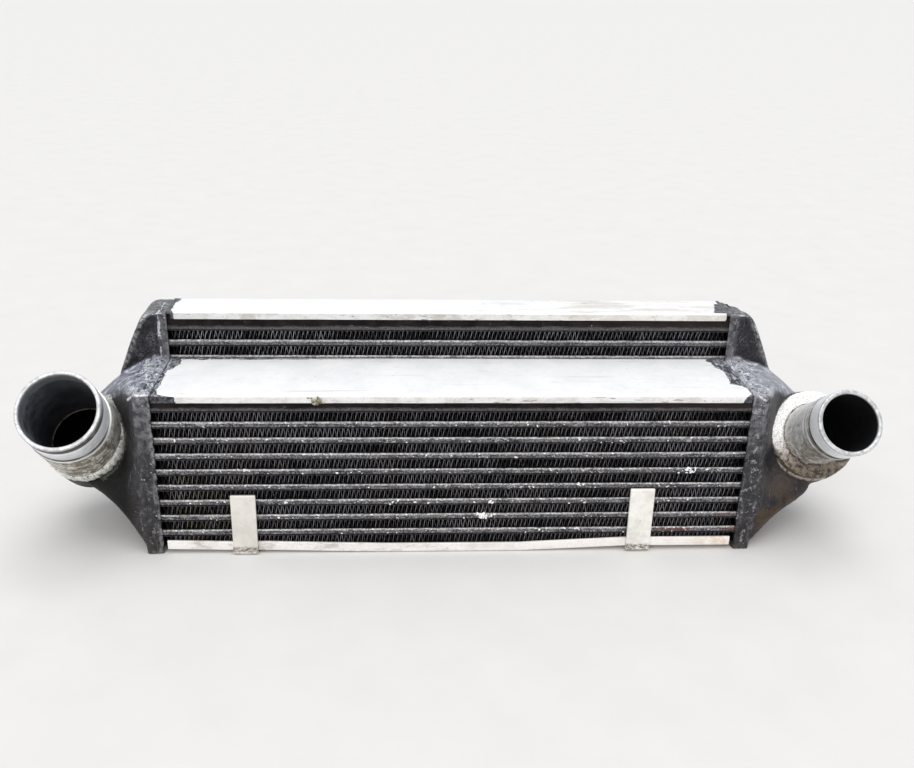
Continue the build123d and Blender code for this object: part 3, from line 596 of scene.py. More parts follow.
    # painted shadow: the left funnel is darkened to near black under the pipe
    deep_shade = s.mul(s.ease(s.x, -281.0, -293.0), s.ease(s.z, 130.0, 102.0))
    base = s.mix(s.mul(deep_shade, 0.84), base, (0.0042, 0.0036, 0.0030))
    s.colour(base)
    gloss = s.most(s.mul(shoulder, marks), s.most(scuff, wear))
    s.rough(s.blend(gloss, s.blend(cloud, 0.34, 0.50), 0.46))
    s.metal(s.mul(s.most(flecks, s.mul(wear, 0.5)), 0.3))
    s.bump(grain, 0.16)
    s.bump(mottle, 0.45, 0.8)
    s.bump(s.add(s.mul(s.add(sweep, s.mul(cross, crust)), s.mul(shoulder, 0.8)), s.mul(scuff_v, s.mul(strip, 0.9))),
           0.7, 0.9)
    return s.mat


def spigot_material(name, mouth, axis, zones, seed, crust_from, dark_bore, grooves, bore_fade, cream, highlight_bands, band):
    """Turned aluminium. Each zone is (from, to, amount of grime), measured back from the mouth."""
    s = Shader(name)
    rel = s.vmath("SUBTRACT", s.pos, tuple(mouth))
    back = s.mul(s.vmath("DOT_PRODUCT", rel, tuple(axis)), -1.0)
    # distance from the axis, and how far below it this point lies
    spoke = s.vmath("MULTIPLY", (*axis,), (1.0, 1.0, 1.0))
    off = s.vmath("LENGTH", s.vmath("CROSS_PRODUCT", rel, spoke))
    below = s.add(s.vmath("DOT_PRODUCT", rel, (0.0, 0.0, 1.0)), s.mul(back, float(axis[2])))
    inside = s.attr("inside")
    rings = s.nodes.new("ShaderNodeTexNoise")
    rings.noise_dimensions = "1D"
    s.put(rings.inputs["W"], back)
    rings.inputs["Scale"].default_value = 2.2
    rings.inputs["Detail"].default_value = 2.0
    rings = rings.outputs["Fac"]
    cloud = s.noise(17.0, 5.0, 0.68, vector=s.vmath("ADD", s.pos, (seed, 0, 0)))
    mottle = s.noise(5.0, 5.0, 0.74, vector=s.vmath("ADD", s.pos, (0, seed, 0)))
    fine = s.noise(1.3, 3.0, 0.66)
    up = s.normal_up()
    base = s.mix(s.ease(cloud, 0.34, 0.66), (0.70, 0.708, 0.725), (0.88, 0.892, 0.91))
    base = s.mix(s.ease(fine, 0.50, 0.70, 0.0, 0.30), base, (0.36, 0.355, 0.34))
    # the clean turned band: bare metal, painted lighter and bluish as a reflection of the sky
    clean_band_sheen = s.mul(s.ease(back, band[0] - 0.5, band[0] + 0.5), s.ease(back, band[1] + 0.5, band[1] - 0.5))
    base = s.mix(s.mul(clean_band_sheen, band[2]), base, (0.92, 0.955, 1.0))
    amount = 0.0
    for start, end, strength in zones:
        amount = s.most(amount, s.mul(s.mul(s.ease(back, start - 1.0, start + 1.5),
                                            s.ease(back, end + 1.5, end - 1.0)), strength))
    film = s.mul(amount, s.ease(cloud, 0.30, 0.60, 0.30, 1.0))
    base = s.mix(s.mul(film, 0.78), base, s.mix(s.ease(mottle, 0.36, 0.62), *cream))
    under = s.ease(s.add(up, s.mul(s.sub(cloud, 0.5), 0.9)), 0.15, -0.55)
    dirt = s.mul(s.mul(amount, under), s.ease(mottle, 0.48, 0.60))
    base = s.mix(s.mul(dirt, 0.88), base, (0.085, 0.062, 0.034))
    blot = s.mul(s.mul(amount, s.ease(up, 0.75, -0.1)),
                 s.ease(s.noise(6.5, 5.0, 0.74, vector=s.vmath("ADD", s.pos, (seed, 9.0, 4.0))), 0.560, 0.61))
    base = s.mix(s.mul(blot, 0.80), base, (0.070, 0.056, 0.038))
    # grime in the grooves and just under the rim, with painted shade there, heavier on the lower side
    for low, high, on_top in grooves:
        groove_grime_and_shade = s.mul(s.ease(back, low - 0.25, low + 0.15), s.ease(back, high + 0.25, high - 0.15))
        groove_grime_and_shade = s.mul(groove_grime_and_shade, s.ease(below, 14.0, -12.0, on_top, 1.0))
        base = s.mix(s.mul(groove_grime_and_shade, s.ease(cloud, 0.30, 0.5, 0.65, 0.98)), base, (0.055, 0.046, 0.034))
    # painted highlight on the edges beside the grooves, brighter on the upper side
    for low, high in highlight_bands:
        painted_edge_highlight = s.mul(s.ease(back, low - 0.2, low + 0.2), s.ease(back, high + 0.2, high - 0.2))
        base = s.mix(s.mul(painted_edge_highlight, s.ease(below, -16.0, 4.0, 0.0, 0.95)), base, (0.97, 0.97, 0.97))
    # the turned rim is bright
    rim = s.ease(back, 2.6, 2.0)
    base = s.mix(rim, base, s.mix(s.ease(mottle, 0.40, 0.62), (0.60, 0.605, 0.615), (0.36, 0.362, 0.37)))
    # soot in thin lines round the tube
    line = s.mul(amount, s.mul(s.ease(rings, 0.62, 0.72), s.ease(cloud, 0.40, 0.60)))
    base = s.mix(s.mul(line, 0.5), base, (0.16, 0.15, 0.13))
    # smears round the tube
    ring_pos = s.vmath("ADD", s.pos, (seed * 3.0, 0.0, 0.0))
    smear = s.noise(3.6, 4.0, 0.70, vector=s.vmath("MULTIPLY", ring_pos, (0.45, 1.0, 0.55)))
    base = s.mix(s.mul(s.mul(amount, s.ease(smear, 0.44, 0.38)), s.ease(below, 26.0, -14.0, 0.10, 0.70)), base, (0.13, 0.112, 0.080))
    base = s.mix(s.mul(s.mul(amount, s.ease(smear, 0.53, 0.62)), 0.5), base, (0.90, 0.885, 0.82))
    # brown dirt in patches on the underside
    patch = s.noise(9.0, 5.0, 0.74, vector=s.vmath("ADD", s.pos, (seed * 2.0, 31.0, 5.0)))
    patch = s.mul(s.mul(amount, s.ease(below, 8.0, -18.0)), s.ease(patch, 0.47, 0.53))
    base = s.mix(s.mul(patch, 0.84), base, (0.110, 0.085, 0.046))
    crust = s.mul(s.ease(back, crust_from - 0.5, crust_from + 0.5), 1.0)
    pale = s.mix(s.ease(fine, 0.36, 0.54), (0.50, 0.485, 0.46), (0.93, 0.925, 0.92))
    base = s.mix(s.mul(crust, s.ease(mottle, 0.30, 0.5, 0.6, 1.0)), base, pale)
    low = s.mul(crust, s.ease(s.add(below, s.mul(s.sub(mottle, 0.5), 34.0)), 1.0, -18.0))
    blotch = s.noise(5.5, 4.0, 0.72, vector=s.vmath("ADD", s.pos, (3.0, seed, 21.0)))
    base = s.mix(s.mul(low, 0.90), base, s.mix(s.ease(blotch, 0.44, 0.54), (0.036, 0.024, 0.019), (0.40, 0.32, 0.27)))
    lowest = s.mul(crust, s.ease(s.add(below, s.mul(s.sub(mottle, 0.5), 26.0)), -8.0, -27.0))
    base = s.mix(s.mul(lowest, 0.85), base, s.mix(s.ease(blotch, 0.42, 0.56), (0.026, 0.018, 0.011), (0.160, 0.124, 0.072)))
    root = s.mul(crust, s.ease(off, 32.0, 29.2))
    root = s.mul(root, s.ease(below, 12.0, -8.0, 0.12, 1.0))
    base = s.mix(s.mul(root, s.ease(blotch, 0.60, 0.40, 0.35, 0.95)), base, (0.060, 0.042, 0.030))
    flake = s.mul(crust, s.ease(s.noise(2.4, 4.0, 0.7, vector=s.vmath("ADD", s.pos, (seed, 0.0, 14.0))), 0.58, 0.64))
    base = s.mix(s.mul(s.mul(flake, s.ease(below, 14.0, -4.0, 0.08, 1.0)), 0.80), base, (0.060, 0.048, 0.040))
    # painted shade: the bore is darker inside, darker still deeper in, almost black on the right
    bore = s.mul(inside, s.ease(back, 0.4, bore_fade))
    deep_shade = s.mix(s.ease(cloud, 0.3, 0.7), tuple(c * dark_bore for c in (0.050, 0.052, 0.060)),
                 tuple(c * dark_bore for c in (0.105, 0.108, 0.118)))
    base = s.mix(s.mul(inside, 0.55), base, (0.16, 0.163, 0.175))
    base = s.mix(bore, base, deep_shade)
    # what light there is inside falls on the wall on the left
    wall = s.add(s.vmath("DOT_PRODUCT", rel, (1.0, 0.0, 0.0)), s.mul(back, float(axis[0])))
    haze = s.mul(s.mul(inside, s.ease(wall, -14.0, -29.0)), s.mul(s.ease(cloud, 0.40, 0.60), s.ease(back, 75.0, 25.0)))
    base = s.mix(s.mul(haze, 0.55 * dark_bore), base, (0.26, 0.30, 0.35))
    s.colour(base)
    gone = s.most(s.mul(film, 0.6), s.most(dirt, s.most(bore, s.mul(crust, 0.6))))
    s.metal(s.blend(gone, 0.22, 0.05))
    s.rough(s.blend(gone, s.blend(rings, 0.22, 0.38), 0.52))
    s.bump(rings, 0.035)
    s.bump(fine, 0.06)
    s.bump(mottle, 0.14, 0.7)
    s.bump(s.mul(crust, fine), 0.35)
    return s.mat


def bead_material(name, light, dark, share):
    """Rough weld metal with soot and paint in its hollows."""
    s = Shader(name)
    ripple = s.noise(1.8, 4.0, 0.66)
    cloud = s.noise(8.0, 4.0, 0.68)
    base = s.mix(s.ease(ripple, 0.36, 0.62), tuple(c * 0.62 for c in light), light)
    edge = 0.5 + 0.32 * (0.5 - share)
    base = s.mix(s.ease(cloud, edge, edge + 0.06), base, dark)
    base = s.mix(s.mul(s.ease(ripple, 0.46, 0.36), 0.8), base, dark)
    s.colour(base)
    s.metal(0.25)
    s.rough(s.blend(ripple, 0.34, 0.58))
    s.bump(ripple, 0.40)
    s.bump(s.noise(0.7, 2.0), 0.12)
    return s.mat


def grit_material():
    s = Shader("grit")
    tone = s.attr("tone")
    n = s.noise(0.9, 2.0, 0.6)
    base = s.mix(s.ease(tone, 0.0, 0.5), (0.95, 0.945, 0.93), (0.56, 0.54, 0.50))
    base = s.mix(s.ease(tone, 0.5, 1.0), base, (0.175, 0.135, 0.060))
    base = s.mix(s.ease(n, 0.5, 0.7, 0.0, 0.5), base, (0.16, 0.14, 0.11))
    s.colour(base)
    s.rough(s.blend(n, 0.6, 0.85))
    s.bump(n, 0.15)
    return s.mat


FIN = fin_material()
BAR = bar_material()
SHEETS = sheet_material()
END_BARS = end_bar_material()
INNER = inner_material()
STRAP = strap_material()
TANK = tank_material()
GRIT = grit_material()
BARE_BEAD = bead_material("weld_bare", (0.86, 0.855, 0.80), (0.22, 0.19, 0.12), 0.28)
SOOTED_BEAD = bead_material("weld_sooted", (0.42, 0.37, 0.32), (0.040, 0.030, 0.024), 0.5)
PAINTED_BEAD = bead_material("weld_painted", (0.58, 0.59, 0.64), (0.050, 0.052, 0.062), 0.42)
RUBBED_HIGHLIGHT_BEAD = bead_material("weld_rubbed_highlight", (0.86, 0.865, 0.90), (0.36, 0.37, 0.41), 0.25)
DULL_BEAD = bead_material("weld_dull", (0.24, 0.24, 0.26), (0.030, 0.030, 0.036), 0.55)
SEAM_BEAD = bead_material("weld_under_paint", (0.150, 0.152, 0.164), (0.046, 0.047, 0.053), 0.50)
INSIDE_BEAD = bead_material("weld_inside", (0.30, 0.235, 0.205), (0.050, 0.040, 0.036), 0.40)
STEP_PLATE = plate_material(
    "step_plate_bare", 155.1, -63.5,
    ((25, -250.5), (20, -249), (10, -248), (4, -251), (-2, -252.6), (-6, -255.2), (-12, -255.9), (-19, -255.2),
     (-26, -255.6), (-38, -255.4), (-46, -254.9), (-51, -256.6), (-54, -255.3), (-60, -253.2), (-62.0, -251.8),
     (-62.8, -248.3), (-63.4, -246.0), (-64.0, -243.2), (-64.6, -239.4), (-67.5, -238.8), (-70.9, -238.0), (-72, -238)),
    ((25, 240.8), (20, 240.9), (16, 244.4), (9.6, 244.6), (3.3, 244.2), (-0.5, 248.0), (-8, 249.7), (-16.6, 249.9),
     (-25, 248.4), (-30, 248.6), (-37, 246.7), (-39, 252.0), (-41.6, 256.8), (-44, 258.4), (-47, 261.0), (-58, 261.0),
     (-61, 258.4), (-63.2, 255.4), (-65.3, 253.7), (-67.6, 252.2), (-70.5, 250.8), (-72, 250)),
    -72.0, 26.0, rear=21.5)
TOP_PLATE = plate_material(
    "top_plate_bare", 201.0, 22.5,
    ((63.5, -252.6), (57, -253.4), (52.4, -254.4), (48, -256.6), (36, -255.6), (28.6, -256.0), (23, -253.6),
     (20.3, -252.9), (17.4, -253.5), (14, -252.7)),
    ((63.5, 259), (54.0, 259), (52.0, 252.4), (40, 249.0), (27, 245.2), (25.2, 246.0), (24.6, 256.2), (14, 255.6)),
    14.0, 66.0, warm=0.30, brush_sheen_amount=0.30, lip_tone=0.62)
BOTTOM_PLATE = plate_material(
    "bottom_plate_bare", 14.0, None,
    ((-66, -262), (66, -262)), ((-66, 262), (66, 262)), -66.0, 66.0, warm=0.30, lip_only=True)
LEFT_SPIGOT = spigot_material("left_spigot_turned", LEFT_MOUTH, LEFT_AXIS,
                              ((14.0, 31.0, 0.12), (35.0, 100.0, 1.0)), 0.0, 140.0, 1.0,
                              ((2.6, 9.6, 0.70), (29.8, 33.0, 0.0)), 18.0,
                              ((0.46, 0.43, 0.325), (0.85, 0.82, 0.71)), ((32.7, 35.4),), (10.5, 31.0, 0.7))
RIGHT_SPIGOT = spigot_material("right_spigot_turned", RIGHT_MOUTH, RIGHT_AXIS,
                               ((19.0, 30.0, 0.45), (30.0, 71.0, 0.80)), 40.0, 70.9, 0.10,
                               ((17.4, 23.7, 0.75), (28.0, 30.2, 0.70)), 2.5,
                               ((0.215, 0.208, 0.185), (0.66, 0.655, 0.635)), ((30.4, 33.4),), (1.0, 17.0, 0.2))


# =====================================================================================================
# cooling fins: one folded sheet a row, its edges a little bent
# =====================================================================================================
def build_fins(row, low, high, front, seed):
    rng = random.Random(seed)
    period, waves, half = 4.0, 129, 258.0
    recess = 1.2
    depths = (0.0, 0.22, 0.8, 5.0)
    rings = [front + recess + d for d in depths] + [CORE_BACK - recess - d for d in depths[::-1]]
    edge_value = [1.0, 0.55, 0.03, 0.0, 0.0, 0.03, 0.55, 1.0]
    bend_value = [1.0, 0.95, 0.7, 0.0, 0.0, 0.5, 0.7, 0.75]
    gauges = [0.30, 0.32, 0.24, 0.22, 0.22, 0.24, 0.32, 0.30]
    crest = 0.18 if row.startswith("upper") else 0.30
    path = []
    lean = 0.0
    tone_walk = 0.5
    for i in range(waves):
        x = -half + i * period
        lean = 0.85 * lean + rng.gauss(0.0, 0.085)
        hit = rng.gauss(0.0, 0.7) if rng.random() < 0.05 else 0.0
        tone_walk = min(max(0.85 * tone_walk + 0.15 * rng.random() + rng.gauss(0, 0.05), 0.0), 1.0)
        for dx, z, w in ((1.0 - crest, high, 0.5), (1.0 + crest, high, 0.5),
                         (3.0 - crest, low, -0.35), (3.0 + crest, low, -0.35)):
            # the leg that ends here: the one rising to the right catches the light, so its tone is raised as painted
            # highlight; near the row ends the tone drops as painted shade
            lit_leg_highlight = 0.26 if z == high else -0.24
            shade = 0.9 * max(0.0, (abs(x + dx) - 248.0) / 10.0)
            tone = min(max(tone_walk + lit_leg_highlight - shade + rng.gauss(0, 0.14), 0.0), 1.0)
            path.append((x + dx, z, (lean + hit) * w + rng.gauss(0, 0.06), tone))
    # the middle of each leg carries the bend
    fine = []
    for j, (x, z, b, t) in enumerate(path):
        fine.append((x, z, b, t))
        if j + 1 < len(path):
            nx, nz, nb, nt = path[j + 1]
            if abs(nz - z) > 1.0:
                bow = rng.gauss(0, 0.13)
                for f in (0.33, 0.67):
                    fine.append((x + (nx - x) * f, z + (nz - z) * f, b + (nb - b) * f + bow, nt))
    pts = np.array(fine)
    tangent = np.gradient(pts[:, :2], axis=0)
    tangent /= np.linalg.norm(tangent, axis=1)[:, None] + 1e-9
    normal = np.stack([-tangent[:, 1], tangent[:, 0]], axis=1)
    count = len(pts)
    verts, edges, tones, faces = [], [], [], []
    for y, ev, bv, gauge in zip(rings, edge_value, bend_value, gauges):
        for sign in (0.5, -0.5):
            px = np.clip(pts[:, 0] + normal[:, 0] * gauge * sign + pts[:, 2] * bv, -half - 0.8, half + 0.8)
            pz = np.clip(pts[:, 1] + normal[:, 1] * gauge * sign, low + 0.02, high - 0.02)
            for a, c, t in zip(px, pz, pts[:, 3]):
                verts.append((a, y, c))
                edges.append(ev)
                tones.append(t)
    ring = 2 * count
    for r in range(len(rings) - 1):
        base, nxt = r * ring, (r + 1) * ring
        for i in range(count - 1):
            faces.append((base + i, base + i + 1, nxt + i + 1, nxt + i))
            faces.append((base + count + i + 1, base + count + i, nxt + count + i, nxt + count + i + 1))
        faces.append((base + count, base, nxt, nxt + count))
        faces.append((base + count - 1, base + 2 * count - 1, nxt + 2 * count - 1, nxt + count - 1))
    for base, flip in ((0, False), ((len(rings) - 1) * ring, True)):
        for i in range(count - 1):
            quad = (base + count + i, base + count + i + 1, base + i + 1, base + i)
            faces.append(quad[::-1] if flip else quad)
    obj = make_object(f"fins_{row}", verts, faces, FIN, sharp=30.0,
                      attributes={"edge": edges, "tone": tones})
    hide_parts(f"air_fin_{row}")
    return obj


for index, (row, (low, high, front)) in enumerate(AIR_ROWS.items()):
    build_fins(row, low, high, front, 100 + index)


# =====================================================================================================
# charge bars: extruded bars with a rounded nose, edges rubbed and nicked
# =====================================================================================================
def build_bar_pair(row, low, high, front, seed):
    rng = np.random.default_rng(seed)
    height = high - low
    # the bars under the cover plates' lips get the painted lip shadow
    under_lip_shadow = 1.0 if row in ("upper_1", "lower_1") else 0.0
    r = min(1.6, height * 0.3)
    profile = []          # (depth from the nose, height)
    for a in np.linspace(0, 90, 5):
        t = math.radians(a)
        profile.append((r - r * math.sin(t), low + r - r * math.cos(t)))
    for f in (0.35, 0.52, 0.68):
        profile.append((0.0, low + height * f))
    for a in np.linspace(90, 0, 6):
        t = math.radians(a)
        profile.append((r - r * math.sin(t), high - r + r * math.cos(t)))
    profile += [(4.0, high), (8.0, high), (8.0, low)]
    n = len(profile)
    verts, vs, faces = [], [], []
    for nose, direction, steps in ((front, 1.0, 260), (CORE_BACK, -1.0, 90)):
        offset = len(verts)
        xs = np.linspace(-STACK_HALF, STACK_HALF, steps)
        wave = np.interp(xs, np.linspace(-STACK_HALF, STACK_HALF, 24), rng.normal(0, 0.055, 24))
        nick = np.where(rng.random(steps) < 0.07, rng.random(steps) * 0.6, 0.0)
        for i, x in enumerate(xs):
            for d, z in profile:
                v = (z - low) / height
                if d < 3:
                    sink = min(max(0.16 + wave[i], 0.0), 0.5) + nick[i] * max(v - 0.6, 0.0) * 2.2
                    z -= nick[i] * max(v - 0.6, 0.0) * 1.2
                else:
                    sink = 0.0
                verts.append((x, nose + direction * (d + sink), z))
                vs.append(v if d < 3 else 0.3 * v)
        for i in range(steps - 1):
            a, b = offset + i * n, offset + (i + 1) * n
            for j in range(n):
                k2 = (j + 1) % n
                quad = (a + j, b + j, b + k2, a + k2)
                faces.append(quad if direction > 0 else quad[::-1])
        cap = tuple(offset + j for j in range(n))
        end = tuple(offset + (steps - 1) * n + j for j in range(n))
        faces.append(cap if direction > 0 else cap[::-1])
        faces.append(end[::-1] if direction > 0 else end)
    obj = make_object(f"bars_{row}", verts, faces, BAR, sharp=50.0,
                      attributes={"v": vs, "under_lip_shadow": [under_lip_shadow] * len(vs)})
    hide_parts(f"charge_bars_{row}")
    return obj


for index, (row, (low, high, front)) in enumerate(CHARGE_ROWS.items()):
    build_bar_pair(row, low, high, front, 300 + index)


# =====================================================================================================
# CAD nodes that keep their shape
# =====================================================================================================
def finish_node(name, material):
    mesh = nodes[name].data
    mesh.materials.clear()
    mesh.materials.append(material)


for name in nodes:
    if name.startswith("charge_turbulator"):
        finish_node(name, INNER)
for name in ("lower_parting_sheets", "upper_parting_sheets", "bottom_side_sheet"):
    finish_node(name, SHEETS)
for name in ("left_air_end_bars", "right_air_end_bars"):
    finish_node(name, END_BARS)


# =====================================================================================================
# cover plates: folded sheet, its folds rounded and its flats not quite flat
# =====================================================================================================
def fold(corner, start, end, radius, steps=5):
    """Points on the arc that rounds a corner of a profile."""
    c, a, b = Vector(corner), Vector(start), Vector(end)
    p, q = c + (a - c).normalized() * radius, c + (b - c).normalized() * radius
    middle = p + (q - c)
    first, second = p - middle, q - middle
    out = []
    for i in range(steps + 1):
        t = i / steps
        d = first * (1 - t) + second * t
        out.append(tuple(middle + d.normalized() * radius))
    return out


def build_plate(name, profile, half, steps, material, seed, lift=None, wave=0.14):
    """profile runs round the sheet's section as (y, z). The section follows lift(x) in z."""
    n = len(profile)
    low, high = np.array(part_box(name)[0]) / MM, np.array(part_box(name)[1]) / MM
    xs = np.linspace(-half, half, steps)
    pts = np.array([(x, y, z + (lift(x) if lift else 0.0)) for x in xs for y, z in profile])
    centre = np.array([sum(p[0] for p in profile) / n, sum(p[1] for p in profile) / n])
    bend = fbm(pts * np.array([1.0, 0.35, 0.35]), 46.0, 3, seed) * wave
    dents = fbm(pts, 13.0, 2, seed + 5.0) * wave * 0.35
    pts[:, 2] += bend + dents - wave * 0.7
    front = pts[:, 1] < centre[0]
    pts[:, 1] += np.where(front, 1.0, -1.0) * (wave * 0.5 + bend * 0.5)
    pts = np.clip(pts, low, high)
    faces = []
    for i in range(steps - 1):
        a, b = i * n, (i + 1) * n
        for j in range(n):
            k2 = (j + 1) % n
            faces.append((a + j, a + k2, b + k2, b + j))
    faces.append(tuple(range(n))[::-1])
    faces.append(tuple((steps - 1) * n + j for j in range(n)))
    obj = make_object(f"{name}_sheet", pts, faces, material, sharp=40.0)
    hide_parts(name)
    return obj


def between(a, b, count):
    return [(a[0] + (b[0] - a[0]) * i / (count + 1), a[1] + (b[1] - a[1]) * i / (count + 1)) for i in range(1, count + 1)]


# profiles run clockwise when seen from +X: over the top towards the viewer, down the lip and back
step_profile = ([(25.0, 155.1)] + between((25.0, 155.1), (-61.0, 155.1), 14)
                + fold((-63.5, 155.1), (25.0, 155.1), (-63.5, 148.0), 1.6)
                + between((-63.5, 153.0), (-63.5, 148.4), 2)
                + [(-63.4, 148.2), (-63.1, 148.0), (-61.4, 148.0), (-61.0, 148.3), (-61.0, 152.0), (-60.6, 152.6)]
                + between((-60.6, 152.6), (25.0, 152.6), 6) + [(25.0, 152.6)])
build_plate("step_plate", step_profile, 259.0, 200, STEP_PLATE, 3.0)
top_profile = ([(43.0, 201.0)] + between((43.0, 201.0), (25.0, 201.0), 4)
               + fold((22.5, 201.0), (43.0, 201.0), (22.5, 193.9), 1.6)
               + between((22.5, 199.0), (22.5, 194.3), 2)
               + [(22.6, 194.1), (22.9, 193.9), (24.6, 193.9), (25.0, 194.2), (25.0, 198.0), (25.4, 198.5)]
               + between((25.4, 198.5), (60.6, 198.5), 4)
               + [(60.6, 198.5), (61.0, 198.0), (61.0, 194.2), (61.4, 193.9), (63.1, 193.9), (63.5, 194.2)]
               + between((63.5, 194.2), (63.5, 199.0), 2)
               + fold((63.5, 201.0), (63.5, 193.9), (43.0, 201.0), 1.6))
build_plate("top_plate", top_profile, 256.0, 200, TOP_PLATE, 8.0)


def bow(x):
    """How far the bottom plate stands off the surface at x."""
    xs = (-256.0, -198.0, -175.0, -60.0, 60.0, 158.0, 256.0)
    zs = (4.47, 3.2, 3.2, 0.0, 0.0, 4.47, 4.47)
    return float(np.interp(x, xs, zs))


def smooth_bow(x):
    return sum(bow(x + d) for d in (-8.0, -4.0, 0.0, 4.0, 8.0)) / 5.0 if abs(x) > 64.0 else bow(x)


bottom_profile = ([(-60.6, 2.5)] + between((-60.6, 2.5), (60.6, 2.5), 8)[0:8] + [(60.6, 2.5), (61.0, 3.0), (61.0, 8.6),
                  (61.4, 8.9), (63.1, 8.9), (63.5, 8.6)] + between((63.5, 8.6), (63.5, 2.0), 2)
                  + fold((63.5, 0.0), (63.5, 8.9), (0.0, 0.0), 1.6) + between((61.5, 0.0), (-61.5, 0.0), 8)
                  + fold((-63.5, 0.0), (0.0, 0.0), (-63.5, 8.9), 1.6) + between((-63.5, 2.0), (-63.5, 8.6), 2)
                  + [(-63.5, 8.6), (-63.1, 8.9), (-61.4, 8.9), (-61.0, 8.6), (-61.0, 3.0)])
build_plate("bottom_plate", bottom_profile[::-1], 256.0, 200, BOTTOM_PLATE, 12.0, lift=smooth_bow, wave=0.10)


# =====================================================================================================
# strap tabs: bent flat bar, its edges broken
# =====================================================================================================
def build_strap(name, centre, foot_top, top, seed):
    half, back, face, foot = 11.0, -63.5, -66.5, -41.5
    low = foot_top - 3.0
    outer = fold((face, low), (face, top), (foot, low), 2.2, 6)
    profile = ([(face, top - 0.5), (face, (top + low) / 2), (face, low + 6.0)] + outer
               + between((face + 3.0, low), (foot, low), 4) + [(foot, low + 0.3), (foot, foot_top - 0.3),
               (foot - 0.3, foot_top)] + between((foot - 0.3, foot_top), (back, foot_top), 3)
               + [(back, foot_top + 0.2), (back, (top + low) / 2), (back, top - 0.4), (back - 0.4, top),
                  (face + 0.5, top)])
    n = len(profile)
    mid = Vector((sum(p[0] for p in profile) / n, 0))
    rows = [(-half, 0.45), (-half + 0.15, 0.15), (-half + 0.5, 0.0)]
    rows += [(x, 0.0) for x in np.linspace(-half + 2.5, half - 2.5, 8)]
    rows += [(half - 0.5, 0.0), (half - 0.15, 0.15), (half, 0.45)]
    tangents = []
    for i in range(n):
        a, b = profile[i - 1], profile[(i + 1) % n]
        t = Vector((b[0] - a[0], b[1] - a[1])).normalized()
        tangents.append((-t.y, t.x))
    area = sum(profile[i - 1][0] * profile[i][1] - profile[i][0] * profile[i - 1][1] for i in range(n))
    flip = 1.0 if area > 0 else -1.0
    pts = []
    for x, inset in rows:
        for (y, z), (ny, nz) in zip(profile, tangents):
            pts.append((centre + x, y + ny * inset * flip, z + nz * inset * flip))
    pts = np.array(pts)
    pts[:, 1] += fbm(pts, 16.0, 2, seed) * 0.12
    box_low, box_high = np.array(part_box(name)[0]) / MM, np.array(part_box(name)[1]) / MM
    pts = np.clip(pts, box_low, box_high)
    faces = []
    for i in range(len(rows) - 1):
        a, b = i * n, (i + 1) * n
        for j in range(n):
            k2 = (j + 1) % n
            quad = (a + j, b + j, b + k2, a + k2)
            faces.append(quad if area > 0 else quad[::-1])
    first, last = tuple(range(n)), tuple((len(rows) - 1) * n + j for j in range(n))
    faces.append(first if area > 0 else first[::-1])
    faces.append(last[::-1] if area > 0 else last)
    obj = make_object(f"{name}_bar", pts, faces, STRAP, sharp=40.0)
    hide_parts(name)
    return obj


build_strap("left_strap_tab", -186.5, 3.2, 60.0, 2.0)
build_strap("right_strap_tab", 170.0, 4.47, 64.7, 6.0)


# =====================================================================================================
# end tanks: the CAD casting, remeshed so that its corners are soft, then roughened
# =====================================================================================================
def copy_of_node(name, voxel):
    """A remeshed copy of a CAD node's mesh, as points in mm and faces."""
    bm = bmesh.new()
    bm.from_mesh(nodes[name].data)
    bmesh.ops.remove_doubles(bm, verts=bm.verts, dist=1e-5)
    mesh = bpy.data.meshes.new("scratch")
    bm.to_mesh(mesh)
    bm.free()
    obj = bpy.data.objects.new("scratch", mesh)
    scene.collection.objects.link(obj)
    mod = obj.modifiers.new("remesh", "REMESH")
    mod.mode, mod.voxel_size, mod.use_smooth_shade = "VOXEL", voxel * MM, True
    dg = bpy.context.evaluated_depsgraph_get()
    out = bpy.data.meshes.new_from_object(obj.evaluated_get(dg))
    bpy.data.objects.remove(obj)
    co = np.zeros(len(out.vertices) * 3)
    out.vertices.foreach_get("co", co)
    co = co.reshape(-1, 3) / MM
    faces = [tuple(p.vertices) for p in out.polygons]
    edges = np.zeros(len(out.edges) * 2, int)
    out.edges.foreach_get("vertices", edges)
    bpy.data.meshes.remove(out)
    return co, faces, edges.reshape(-1, 2)


def relax(co, edges, rounds, weight=0.5):
    """Evens the surface: each point moves towards the mean of its neighbours."""
    count = np.zeros(len(co))
    np.add.at(count, edges[:, 0], 1)
    np.add.at(count, edges[:, 1], 1)
    out = co.copy()
    for _ in range(rounds):
        total = np.zeros_like(out)
        np.add.at(total, edges[:, 0], out[edges[:, 1]])
        np.add.at(total, edges[:, 1], out[edges[:, 0]])
        out += (total / count[:, None] - out) * weight
    return out


def vertex_normals(co, faces):
    quads = np.array([f if len(f) == 4 else (*f, f[-1]) for f in faces])
    a, b, c, d = (co[quads[:, i]] for i in range(4))
    fn = np.cross(c - a, d - b)
    out = np.zeros_like(co)
    for i in range(4):
        np.add.at(out, quads[:, i], fn)
    return out / (np.linalg.norm(out, axis=1)[:, None] + 1e-12)


